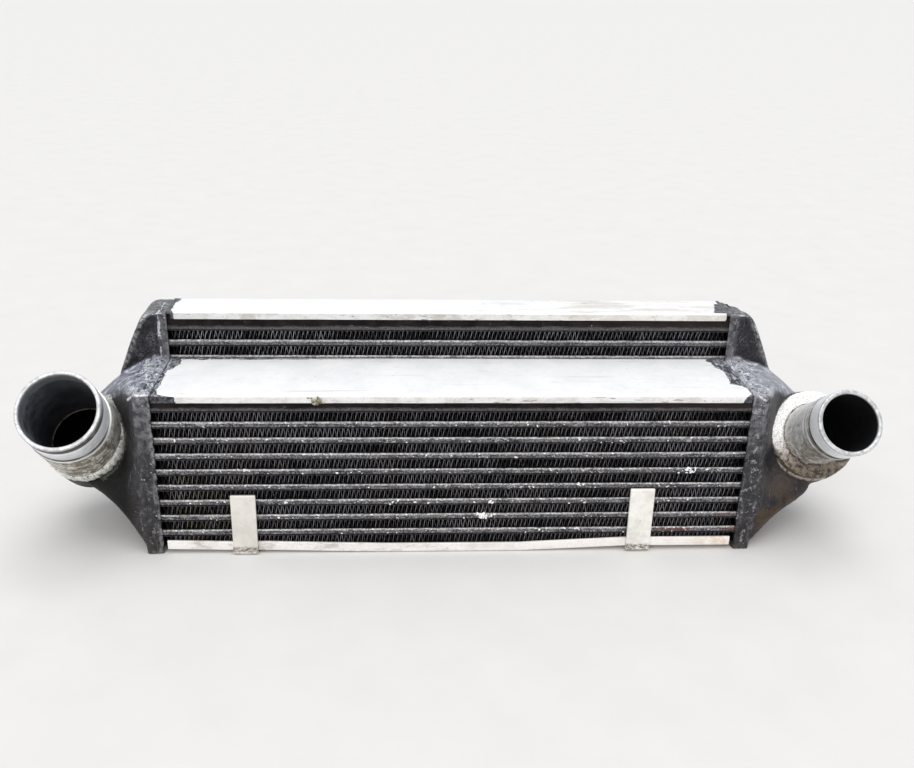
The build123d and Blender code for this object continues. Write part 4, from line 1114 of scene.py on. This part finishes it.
def build_tank(name, side, mouth, axis, voxel):
    co, faces, edges = copy_of_node(name, voxel)
    # the upper part runs straight on from the rim
    x, y, z = np.abs(co[:, 0]), co[:, 1], co[:, 2]
    flush = smoothstep(y, 24.6, 23.6) * smoothstep(y, 20.0, 21.2) * smoothstep(z, 156.5, 159.5) * smoothstep(x, 284, 276)
    target = 22.0 + 1.0 * smoothstep(x, 262, 280)
    co[:, 1] += (target - y) * flush
    if side > 0:
        x, y, z = np.abs(co[:, 0]), co[:, 1], co[:, 2]
        co[:, 2] -= (4.2 * smoothstep(x, 260.5, 273.0) * smoothstep(x, 291.0, 283.0) * smoothstep(y, 27.0, 58.0)
                     * smoothstep(z, 176.0, 199.0))
    co = relax(co, edges, 6)
    soft = relax(co, edges, 14)
    normal = vertex_normals(co, faces)
    convex = ((co - soft) * normal).sum(axis=1)
    edge = smoothstep(convex, 0.10, 0.42)
    # the outer corner of the flange kept its paint
    edge *= 1.0 - (0.85 if side < 0 else 0.92) * smoothstep(np.abs(co[:, 0]), 266 if side < 0 else 250, 271 if side < 0 else 252) * smoothstep(co[:, 2], 150, 140)
    edge *= 1.0 - 0.6 * smoothstep(co[:, 2], 152, 156) * smoothstep(np.abs(co[:, 0]), 270, 264)
    if side > 0:
        edge *= 1.0 - 0.7 * smoothstep(co[:, 2], 186, 194) * smoothstep(co[:, 0], 284, 278)
    x, y, z = np.abs(co[:, 0]), co[:, 1], co[:, 2]
    rel = co - np.array(mouth)
    ax = np.array(axis)
    back = -(rel @ ax)
    radial = np.linalg.norm(rel + np.outer(back, ax), axis=1)
    near_pipe = smoothstep(radial, 54, 44) * smoothstep(back, 60, 80)
    wobble = fbm(co, 18.0, 3, 2.0 + side) * 2.5
    facing = -side * (rel[:, 0] + back * ax[0]) / np.maximum(radial, 1.0)
    weldy = (smoothstep(radial, 46.5, 38.5) * smoothstep(back, 60, 70) * smoothstep(back, 99, 92)
             * smoothstep(facing, -0.1, 0.5) * (1.0 if side < 0 else 0.45))
    # the flange that wraps the core
    front_face = smoothstep(-normal[:, 1], 0.25, 0.7)
    strip = smoothstep(x + wobble, 285, 275) * front_face * smoothstep(z, 160, 150)
    strip_up = smoothstep(x + wobble * 0.4, 269.5, 266) * front_face * smoothstep(z, 152, 158)
    strip = np.clip(strip + 0.8 * strip_up, 0, 1) * (1 - near_pipe)
    up = smoothstep(normal[:, 2] + wobble * 0.03, 0.20, 0.55)
    shoulder = up * smoothstep(z, 96, 116) * smoothstep(z, 176, 164) * smoothstep(y, 48, 24)
    crust = smoothstep(x + wobble, 292, 280)
    upper = smoothstep(z, 152, 160) * smoothstep(-normal[:, 1], 0.5, 0.8)
    brown = smoothstep(z, 95, 35) * smoothstep(x, 276, 284) * (0.85 if side > 0 else 0.45)
    brown = np.clip(brown + 0.40 * smoothstep(z, 50, 5), 0, 1)
    # roughness of the casting
    rough = fbm(co, 13.0, 3, 3.0 * side)
    fine = fbm(co, 4.2, 3, 7.0 * side)
    crease = 1.0 - 2.0 * np.abs(fbm(co * np.array([1.0, 0.55, 1.0]), 8.5, 2, 11.0 * side))
    amount = 0.22 + 0.55 * strip + 0.35 * shoulder * crust
    co = co + normal * (rough * amount + fine * (0.08 + 0.42 * strip + 0.16 * shoulder)
                        + crease * 0.42 * shoulder * crust + fine * 0.5 * weldy)[:, None]
    # the flange's inner lip isn't cut straight
    inner = smoothstep(x, 263.0, 260.0) * smoothstep(y, -58.0, -61.5)
    co[:, 0] += side * inner * (fbm(co * np.array([0.3, 0.3, 1.0]), 7.0, 3, 21.0 * side) * 0.9 + 0.5)
    low, high = np.array(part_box(name)[0]) / MM, np.array(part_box(name)[1]) / MM
    co = np.clip(co, low, high)
    obj = make_object(f"{name}_cast", co, faces, TANK, sharp=75.0, outward=False,
                      attributes={"strip": strip, "shoulder": shoulder, "edge": edge, "brown": brown,
                                  "upper": upper, "crust": crust, "weldy": weldy})
    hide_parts(name)
    return BVHTree.FromPolygons((co * MM).tolist(), faces)


VOXEL = 1.5
left_tank = build_tank("left_end_tank", -1, LEFT_MOUTH, LEFT_AXIS, VOXEL)
right_tank = build_tank("right_end_tank", 1, RIGHT_MOUTH, RIGHT_AXIS, VOXEL)


# =====================================================================================================
# weld beads, laid on the surface they join
# =====================================================================================================
def sweep_bead(rings_of_points, sides, closed):
    faces = []
    n = len(rings_of_points)
    verts = [p for ring in rings_of_points for p in ring]
    for i in range(n if closed else n - 1):
        a, b = i * sides, ((i + 1) % n) * sides
        for j in range(sides):
            k2 = (j + 1) % sides
            faces.append((a + j, a + k2, b + k2, b + j))
    if not closed:
        faces.append(tuple(range(sides))[::-1])
        faces.append(tuple((n - 1) * sides + j for j in range(sides)))
    return verts, faces


def build_bead(name, points, surface, radius, material, seed, ripple=2.6, sides=10, gaps=0.0):
    """A bead along points (mm), each snapped to the surface, its thickness lumpy."""
    rng = random.Random(seed)
    path = [Vector(p) for p in points]
    fine = []
    for a, b in zip(path, path[1:]):
        count = max(2, int((b - a).length / 0.7))
        fine += [a.lerp(b, i / count) for i in range(count)]
    fine.append(path[-1])
    placed = []
    for p in fine:
        hit, normal, _, _ = surface.find_nearest(p * MM)
        placed.append((hit / MM, normal))
    for _ in range(4):
        placed = [placed[0]] + [((a[0] + b[0] * 2 + c[0]) / 4, (a[1] + b[1] * 2 + c[1]).normalized())
                                for a, b, c in zip(placed, placed[1:], placed[2:])] + [placed[-1]]
    rings, run = [], 0.0
    for i, (p, normal) in enumerate(placed):
        ahead = placed[min(i + 1, len(placed) - 1)][0] - placed[max(i - 1, 0)][0]
        ahead.normalize()
        across = normal.cross(ahead).normalized()
        out = ahead.cross(across).normalized()
        if out.dot(normal) < 0:
            out = -out
        run += 0.7
        lump = 0.78 + 0.22 * abs(math.sin(math.pi * run / ripple))
        lump *= 1.0 + 0.38 * noise.fractal(Vector((run / 6.0, seed, 0.0)), 1.0, 2.0, 3)
        if gaps:
            lump *= 0.25 + 0.75 * float(smoothstep(noise.noise(Vector((run / 5.0, seed * 3.1, 1.0))), -0.35 + gaps, 0.05 + gaps))
        fade = min(1.0, (i + 1) / 4.0, (len(placed) - i) / 4.0)
        r = max(radius * lump * fade, 0.08)
        shift = 0.5 * radius * noise.noise(Vector((run / 8.0, seed, 4.0)))
        ring = []
        for k in range(sides):
            t = 2 * math.pi * k / sides
            ring.append(tuple(p + across * (math.cos(t) * r * 1.25 + shift) + out * (math.sin(t) * r * 0.8 - r * 0.12)))
        rings.append(ring)
    verts, faces = sweep_bead(rings, sides, False)
    verts = np.clip(np.array(verts), np.array(cad_low) / MM, np.array(cad_high) / MM)
    return make_object(name, verts, faces, material, sharp=60.0)


def build_ring_bead(name, mouth, axis, back, radius, thick, wide, material, seed, ripple=34, heavy_low=0.0,
                    nearer=0.0, swell=0.0):
    """A fillet weld round a spigot."""
    across = axis.cross(Vector((0, 0, 1))).normalized()
    other = axis.cross(across)
    rings, sides, turns = [], 16, 240
    for i in range(turns):
        t = 2 * math.pi * i / turns
        radial = across * math.cos(t) + other * math.sin(t)
        low = max(0.0, -radial.z)
        phase = i * ripple / turns
        lump = 0.80 + 0.20 * abs(math.sin(math.pi * phase))
        q = Vector((math.cos(t) * 3.2, math.sin(t) * 3.2, seed))
        toward_tank = max(0.0, radial.x)
        lump *= 1.0 + 0.30 * noise.fractal(q, 1.0, 2.0, 3) + heavy_low * low + swell * toward_tank
        slide = 1.3 * noise.noise(q * 0.8 + Vector((0, 0, 5.0)))
        ring = []
        for k in range(sides):
            a = 2 * math.pi * k / sides
            r = radius + math.sin(a) * thick * lump - thick * 0.25
            b = back + slide - nearer * toward_tank + math.cos(a) * wide * (0.85 + 0.15 * lump)
            bump = 0.22 * noise.noise(Vector((radial.x * 18, radial.z * 18, a * 1.6 + seed)))
            ring.append(tuple(mouth + radial * (r + bump) - axis * b))
        rings.append(ring)
    verts, faces = sweep_bead(rings, sides, True)
    verts = np.clip(np.array(verts), np.array(cad_low) / MM, np.array(cad_high) / MM)
    return make_object(name, verts, faces, material, sharp=60.0)


build_bead("weld_left_upright", [(-267.0, 22.0, 197.5), (-266.4, 22.0, 190.0), (-267.2, 22.0, 181.0),
                                 (-266.8, 22.0, 170.0), (-266.9, 22.0, 162.0), (-266.8, 21.5, 157.0)],
           left_tank, 1.25, PAINTED_BEAD, 3, gaps=0.12)
build_bead("weld_left_top", [(-266.5, 23.5, 200.2), (-265.6, 32.0, 200.4), (-266.2, 44.0, 200.4), (-265.4, 60.0, 200.4)],
           left_tank, 1.1, PAINTED_BEAD, 7, gaps=0.15)
build_bead("weld_left_cap", [(-284.0, 23.0, 191.0), (-279.0, 22.8, 196.5), (-273.0, 22.6, 199.0), (-267.5, 22.4, 199.6),
                             (-263.0, 22.2, 199.8)],
           left_tank, 1.0, PAINTED_BEAD, 9, gaps=0.05)
build_bead("weld_left_shoulder", [(-265.0, 20.0, 155.6), (-265.8, 8.0, 155.6), (-267.3, -4.0, 155.6),
                                  (-267.4, -16.0, 155.6), (-266.7, -30.0, 155.6), (-266.2, -44.0, 155.6),
                                  (-266.8, -56.0, 155.6), (-268.4, -62.5, 155.0)],
           left_tank, 1.3, PAINTED_BEAD, 13, gaps=0.06)
# the edge between the dark front and the lit shoulder: a rubbed bead, made light as a painted highlight
build_bead("weld_left_corner", [(-259.6, -62.9, 155.3), (-264.0, -63.2, 155.1), (-268.0, -63.0, 154.6),
                                (-273.0, -59.5, 152.0), (-278.0, -53.5, 148.2), (-283.0, -47.5, 144.5)],
           left_tank, 1.05, RUBBED_HIGHLIGHT_BEAD, 17, gaps=-0.25)
build_bead("weld_right_shoulder", [(262.5, 20.0, 155.6), (262.2, 8.0, 155.6), (264.0, -4.0, 155.6), (264.2, -16.0, 155.6),
                                   (263.2, -29.0, 155.6), (262.6, -45.0, 155.6), (262.6, -56.6, 155.4),
                                   (264.4, -63.0, 154.8), (268.0, -64.0, 152.0), (273.0, -63.6, 149.3)],
           right_tank, 1.15, PAINTED_BEAD, 23, gaps=-0.05)
build_bead("weld_right_upright", [(266.0, 22.0, 197.0), (265.4, 22.0, 186.0), (264.6, 22.0, 176.0), (265.6, 22.0, 166.0),
                                  (265.4, 21.6, 157.5)],
           right_tank, 0.9, DULL_BEAD, 29, gaps=0.10)
build_bead("weld_right_cap", [(264.0, 22.2, 199.8), (271.0, 22.5, 199.6), (278.0, 23.0, 198.0), (282.0, 23.0, 193.5)],
           right_tank, 0.45, PAINTED_BEAD, 31, gaps=0.20)
build_bead("weld_right_curve", [(282.5, 23.0, 193.0), (285.5, 23.0, 188.0), (288.5, 23.0, 182.0)],
           right_tank, 0.75, PAINTED_BEAD, 37, gaps=-0.10)


def build_filler(name, side, y_low, y_high, seed):
    """Flat weld filling the gap between the top plate's end and the tank's rim."""
    rings, sides, count = [], 20, 60
    for i in range(count + 1):
        y = y_low + (y_high - y_low) * i / count
        top = 1.05 + 0.12 * noise.noise(Vector((y / 3.0, seed, 0.0)))
        ring = []
        for k in range(sides):
            a = 2 * math.pi * k / sides
            c, d = math.cos(a), math.sin(a)
            ring.append((side * (257.7 + math.copysign(abs(c) ** 0.35, c) * 2.15), y,
                         199.75 + math.copysign(abs(d) ** 0.35, d) * top))
        rings.append(ring)
    verts, faces = sweep_bead(rings, sides, False)
    verts = np.clip(np.array(verts), np.array(cad_low) / MM, np.array(cad_high) / MM)
    return make_object(name, verts, faces, SEAM_BEAD, sharp=60.0)


build_filler("weld_right_top", 1, 23.6, 63.0, 41.0)
build_filler("weld_left_seam", -1, 23.6, 63.0, 43.0)
build_ring_bead("weld_left_spigot", LEFT_MOUTH, LEFT_AXIS, 94.0, 35.9, 2.3, 7.0, BARE_BEAD, 2.0, 40, 0.25, 16.0, 1.1)
build_ring_bead("weld_right_spigot", RIGHT_MOUTH, RIGHT_AXIS, 82.0, 41.0, 1.5, 2.4, SOOTED_BEAD, 6.0, 46, 0.5)
build_ring_bead("weld_left_inside", LEFT_MOUTH, LEFT_AXIS, 98.6, 31.1, 0.75, 0.8, INSIDE_BEAD, 11.0, 30)
build_ring_bead("weld_right_tube", RIGHT_MOUTH, RIGHT_AXIS, 70.6, 28.6, 1.0, 1.5, SOOTED_BEAD, 8.0, 40, 0.3)


# =====================================================================================================
# spigots: turned tubes
# =====================================================================================================
def build_spigot(name, mouth, axis, profile, material, crust_from, turns=160):
    """profile is (radius, distance back from the mouth, inside) round the tube's wall."""
    across = axis.cross(Vector((0, 0, 1))).normalized()
    other = axis.cross(across)
    verts, inside, faces = [], [], []
    n = len(profile)
    for i in range(turns):
        t = 2 * math.pi * i / turns
        radial = across * math.cos(t) + other * math.sin(t)
        for r, b, ins in profile:
            p = mouth + radial * r - axis * b
            if b > crust_from and not ins:
                rough = noise.fractal(p / 4.0, 1.0, 2.0, 3)
                p = p + radial * (rough * 0.35 - 0.20) + axis * (rough * 0.30 - 0.10 if b < crust_from + 1.0 else 0.0)
            elif not ins:
                p = p + radial * (0.05 * noise.noise(p / 11.0) - 0.04)
            verts.append(tuple(p))
            inside.append(ins)
    for i in range(turns):
        a, b = i * n, ((i + 1) % turns) * n
        for j in range(n):
            k2 = (j + 1) % n
            faces.append((a + j, a + k2, b + k2, b + j))
    obj = make_object(f"{name}_turned", verts, faces, material, sharp=38.0, attributes={"inside": inside})
    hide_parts(name)
    return obj


def arc(cx, cy, r, a0, a1, steps):
    return [(cx + r * math.cos(math.radians(a0 + (a1 - a0) * i / steps)),
             cy - r * math.sin(math.radians(a0 + (a1 - a0) * i / steps)), 0.0) for i in range(steps + 1)]


left_profile = (
    [(31.0, 100.0, 1.0), (31.0, 60.0, 1.0), (31.0, 30.0, 1.0), (31.0, 8.0, 1.0), (31.0, 1.4, 1.0), (31.3, 0.5, 0.6),
     (32.0, 0.0, 0.0), (33.5, 0.0, 0.0)]
    + arc(33.5, 1.2, 1.2, 90, 0, 5)[1:]
    + [(34.7, 2.2, 0.0), (34.3, 2.6, 0.0), (33.3, 2.9, 0.0), (32.9, 3.4, 0.0), (32.9, 5.6, 0.0), (33.5, 6.0, 0.0),
       (34.6, 6.2, 0.0), (34.8, 6.8, 0.0), (34.8, 18.0, 0.0), (34.8, 30.6, 0.0), (34.5, 31.2, 0.0), (34.2, 31.6, 0.0),
       (34.2, 32.4, 0.0), (34.8, 32.8, 0.0), (35.7, 33.1, 0.0), (36.0, 33.8, 0.0), (36.0, 50.0, 0.0),
       (36.0, 75.0, 0.0), (36.0, 99.5, 0.0), (35.6, 100.0, 0.0)])
build_spigot("left_spigot", LEFT_MOUTH, LEFT_AXIS, left_profile, LEFT_SPIGOT, 500.0)
right_profile = (
    [(25.0, 81.0, 1.0), (25.0, 50.0, 1.0), (25.0, 25.0, 1.0), (25.0, 6.0, 1.0), (25.0, 1.4, 1.0), (25.3, 0.5, 0.6),
     (26.0, 0.0, 0.0), (27.9, 0.0, 0.0)]
    + arc(27.9, 1.2, 1.2, 90, 0, 5)[1:]
    + [(29.1, 10.0, 0.0), (29.1, 18.6, 0.0), (28.7, 19.1, 0.0), (27.9, 19.6, 0.0), (27.7, 20.2, 0.0),
       (27.7, 22.4, 0.0), (28.0, 22.9, 0.0), (28.8, 23.2, 0.0), (29.1, 23.8, 0.0), (29.1, 29.2, 0.0),
       (28.7, 29.9, 0.0), (28.4, 30.4, 0.0), (28.4, 50.0, 0.0), (28.4, 70.4, 0.0), (28.8, 71.0, 0.0),
       (29.4, 71.2, 0.0), (31.0, 71.2, 0.0), (33.0, 71.2, 0.0), (35.0, 71.2, 0.0), (37.0, 71.2, 0.0),
       (38.6, 71.2, 0.0), (39.8, 71.2, 0.0)]
    + arc(39.8, 72.4, 1.2, 90, 0, 5)[1:]
    + [(41.0, 74.0, 0.0), (41.0, 75.8, 0.0), (41.0, 77.6, 0.0), (41.0, 79.4, 0.0), (41.0, 80.6, 0.0),
       (40.6, 81.0, 0.0)])
build_spigot("right_spigot", RIGHT_MOUTH, RIGHT_AXIS, right_profile, RIGHT_SPIGOT, 71.0)


# =====================================================================================================
# grit and chips caught on the front of the core
# =====================================================================================================
def build_grit():
    rng = random.Random(77)
    ico = bmesh.new()
    bmesh.ops.create_icosphere(ico, subdivisions=1, radius=1.0)
    shape = [v.co.copy() for v in ico.verts]
    shape_faces = [tuple(v.index for v in f.verts) for f in ico.faces]
    ico.free()
    rows = [(CHARGE_ROWS[f"lower_{k}"][0], CHARGE_ROWS[f"lower_{k}"][1]) for k in range(2, 10)]
    verts, faces, tones = [], [], []

    def crumb(x, y, z, w, d, h, turn, tone):
        base = len(verts)
        c, n = math.cos(turn), math.sin(turn)
        for v in shape:
            j = 1.0 + rng.uniform(-0.35, 0.35)
            a, b = v.x * w * j, v.z * h * j
            verts.append((x + a * c - b * n, y + v.y * d * j, z + a * n + b * c))
            tones.append(tone)
        for f in shape_faces:
            faces.append(tuple(base + i for i in f))

    def on_bar(x, z, size, tone, turn=None, long=1.0):
        low, high = min(rows, key=lambda r: abs((r[0] + r[1]) / 2 - z))
        z = min(max(z, low + 0.7), high - 0.2)
        crumb(x, DEEP_FRONT - 0.05, z, size * long, size * 0.35, size, rng.uniform(0, 3.1) if turn is None else turn, tone)

    for _ in range(620):
        low, high = rng.choice(rows)
        edge = rng.random() < 0.45
        z = high - rng.random() * 0.5 if edge else rng.uniform(low + 1.2, high)
        x = rng.uniform(-250, 250)
        size = 0.30 + 0.55 * rng.random() ** 2.4
        on_bar(x, z, size, rng.random() ** 2 * 0.55, long=rng.uniform(1.0, 2.6), turn=rng.gauss(0.0, 0.6))
    for x, z, count, spread, size, tone in (
            (-48.0, 52.4, 2, 1.5, 0.75, 0.05), (-41.0, 52.6, 1, 0.5, 0.6, 0.1), (33.8, 50.2, 4, 1.2, 0.8, 0.0),
            (24.5, 38.2, 12, 2.6, 0.85, 0.05), (28.5, 36.5, 10, 3.0, 0.9, 0.0), (33.0, 35.5, 7, 3.2, 0.7, 0.1),
            (216.5, 81.6, 11, 4.5, 0.85, 0.0), (208.0, 79.0, 6, 4.0, 0.6, 0.1), (-185.3, 83.0, 3, 1.2, 0.8, 0.1),
            (-239.0, 37.0, 3, 1.0, 0.85, 0.75), (-148.4, 51.0, 3, 1.6, 0.7, 0.15), (-179.3, 82.4, 2, 1.6, 0.7, 0.15),
            (-52.5, 49.5, 5, 2.4, 0.6, 0.1), (-37.3, 52.5, 2, 1.2, 0.5, 0.1), (140.0, 98.0, 9, 9.0, 0.6, 0.1), (-16.0, 112.6, 2, 0.6, 0.7, 0.0), (-55.0, 83.2, 2, 0.8, 0.8, 0.0),
            (-22.5, 49.5, 3, 0.8, 0.7, 0.05), (112.0, 67.0, 4, 2.0, 0.8, 0.05), (80.0, 21.8, 5, 2.6, 0.7, 0.1),
            (114.0, 21.8, 5, 2.0, 0.7, 0.1),
            (60.0, 67.0, 6, 7.0, 0.55, 0.15), (110.0, 52.0, 8, 9.0, 0.55, 0.2), (175.0, 22.0, 8, 12.0, 0.6, 0.3),
            (-95.0, 113.0, 5, 6.0, 0.5, 0.2), (-215.0, 36.5, 9, 7.0, 0.6, 0.45), (8.0, 52.0, 5, 8.0, 0.55, 0.2)):
        for _ in range(count):
            on_bar(x + rng.gauss(0, spread), z + rng.gauss(0, spread * 0.45), size * rng.uniform(0.7, 1.6),
                   min(1.0, tone + rng.random() * 0.15), long=rng.uniform(0.9, 1.7))
    # thin scratches down to the metal
    for _ in range(90):
        low, high = rng.choice(rows)
        z = rng.uniform(low + 1.0, high - 0.4)
        turn = rng.choice((-0.6, 0.5, 0.9)) + rng.gauss(0, 0.25)
        crumb(rng.uniform(-250, 250), DEEP_FRONT + 0.06, z, rng.uniform(0.9, 2.3), 0.10, 0.13, turn, rng.uniform(0.0, 0.4))
    for x, z, spread in ((-66.0, 127.0, 9.0), (-48.0, 112.0, 8.0), (20.0, 97.5, 7.0), (34.0, 112.0, 6.0),
                         (118.0, 82.0, 9.0), (62.0, 67.0, 8.0), (-60.0, 36.5, 8.0), (36.0, 36.5, 7.0)):
        low, high = min(rows, key=lambda r: abs((r[0] + r[1]) / 2 - z))
        for _ in range(7):
            crumb(x + rng.gauss(0, spread), DEEP_FRONT + 0.04, rng.uniform(low + 0.9, high - 0.4), rng.uniform(1.0, 2.6), 0.10,
                  0.15, rng.choice((-0.7, 0.5, 0.9)) + rng.gauss(0, 0.25), rng.uniform(0.0, 0.3))
    # the clump of soil on the step plate's lip
    for _ in range(46):
        x, z = -119.5 + rng.gauss(0, 2.2), 150.9 + rng.gauss(0, 2.1)
        size = rng.uniform(0.5, 1.25)
        crumb(x, -63.9 - rng.random() * 0.9, min(max(z, 145.8), 154.8), size, size * 0.8, size * 0.9,
              rng.uniform(0, 3.1), rng.uniform(0.70, 1.0))
    # specks on the flat of the step plate
    for _ in range(34):
        size = 0.18 + 0.30 * rng.random() ** 2
        crumb(rng.uniform(-240, 235), rng.uniform(-60, 20), 155.0, size * rng.uniform(1, 2), size, size * 0.3,
              0.0, rng.uniform(0.6, 1.0))
    make_object("grit_on_core", verts, faces, GRIT, sharp=180.0, attributes={"tone": tones})


build_grit()
# =====================================================================================================
# floor, light and camera
# =====================================================================================================
def floor_material():
    s = Shader("floor_pale", Roughness=0.75)
    n = s.noise(60.0, 4.0)
    s.colour(s.mix(n, (0.60, 0.59, 0.575), (0.66, 0.65, 0.635)))
    s.bump(s.noise(3.0, 3.0), 0.1, 0.4)
    return s.mat


floor_mesh = bpy.data.meshes.new("floor")
floor_mesh.from_pydata([(-60, -60, 0), (60, -60, 0), (60, 60, 0), (-60, 60, 0)], [], [(0, 1, 2, 3)])
floor_mesh.materials.append(floor_material())
floor = bpy.data.objects.new("floor", floor_mesh)
scene.collection.objects.link(floor)

world = bpy.data.worlds.new("studio")
scene.world = world
world.use_nodes = True
world.node_tree.nodes["Background"].inputs["Color"].default_value = (0.93, 0.95, 1.0, 1.0)
world.node_tree.nodes["Background"].inputs["Strength"].default_value = 0.62


def sun_light(name, toward, spread, power, colour=(1, 1, 1)):
    """A wide soft light from the direction given, the same strength everywhere."""
    data = bpy.data.lights.new(name, "SUN")
    data.angle, data.energy, data.color = math.radians(spread), power, colour
    obj = bpy.data.objects.new(name, data)
    obj.location = Vector(toward) * 2.0
    obj.rotation_mode = "QUATERNION"
    obj.rotation_quaternion = Vector(toward).to_track_quat("Z", "Y")
    scene.collection.objects.link(obj)
    return obj


sun_light("key_above", (0.08, -0.12, 1.0), 50.0, 1.75)
sun_light("front_soft", (-0.22, -1.0, 0.82), 50.0, 1.55, (1.0, 0.985, 0.96))

pitch, yaw, roll = math.radians(22.39), math.radians(3.425), math.radians(-1.337)
forward = Vector((math.sin(yaw) * math.cos(pitch), math.cos(yaw) * math.cos(pitch), -math.sin(pitch)))
level = Vector((math.cos(yaw), -math.sin(yaw), 0.0))
down = forward.cross(level)
right = level * math.cos(roll) + down * math.sin(roll)
lower = down * math.cos(roll) - level * math.sin(roll)
camera = bpy.data.objects.new("camera", bpy.data.cameras.new("camera"))
scene.collection.objects.link(camera)
camera.data.sensor_fit, camera.data.sensor_width = "HORIZONTAL", 36.0
camera.data.lens = 36.0 * 1015.0 / 914.0
camera.data.clip_start, camera.data.clip_end = 0.01, 50.0
camera.matrix_world = Matrix((
    (right.x, -lower.x, -forward.x, -0.04731),
    (right.y, -lower.y, -forward.y, -0.86208),
    (right.z, -lower.z, -forward.z, 0.49549),
    (0, 0, 0, 1)))
scene.camera = camera

scene.view_settings.view_transform = "Standard"
scene.view_settings.look = "None"
scene.view_settings.exposure = 0.0
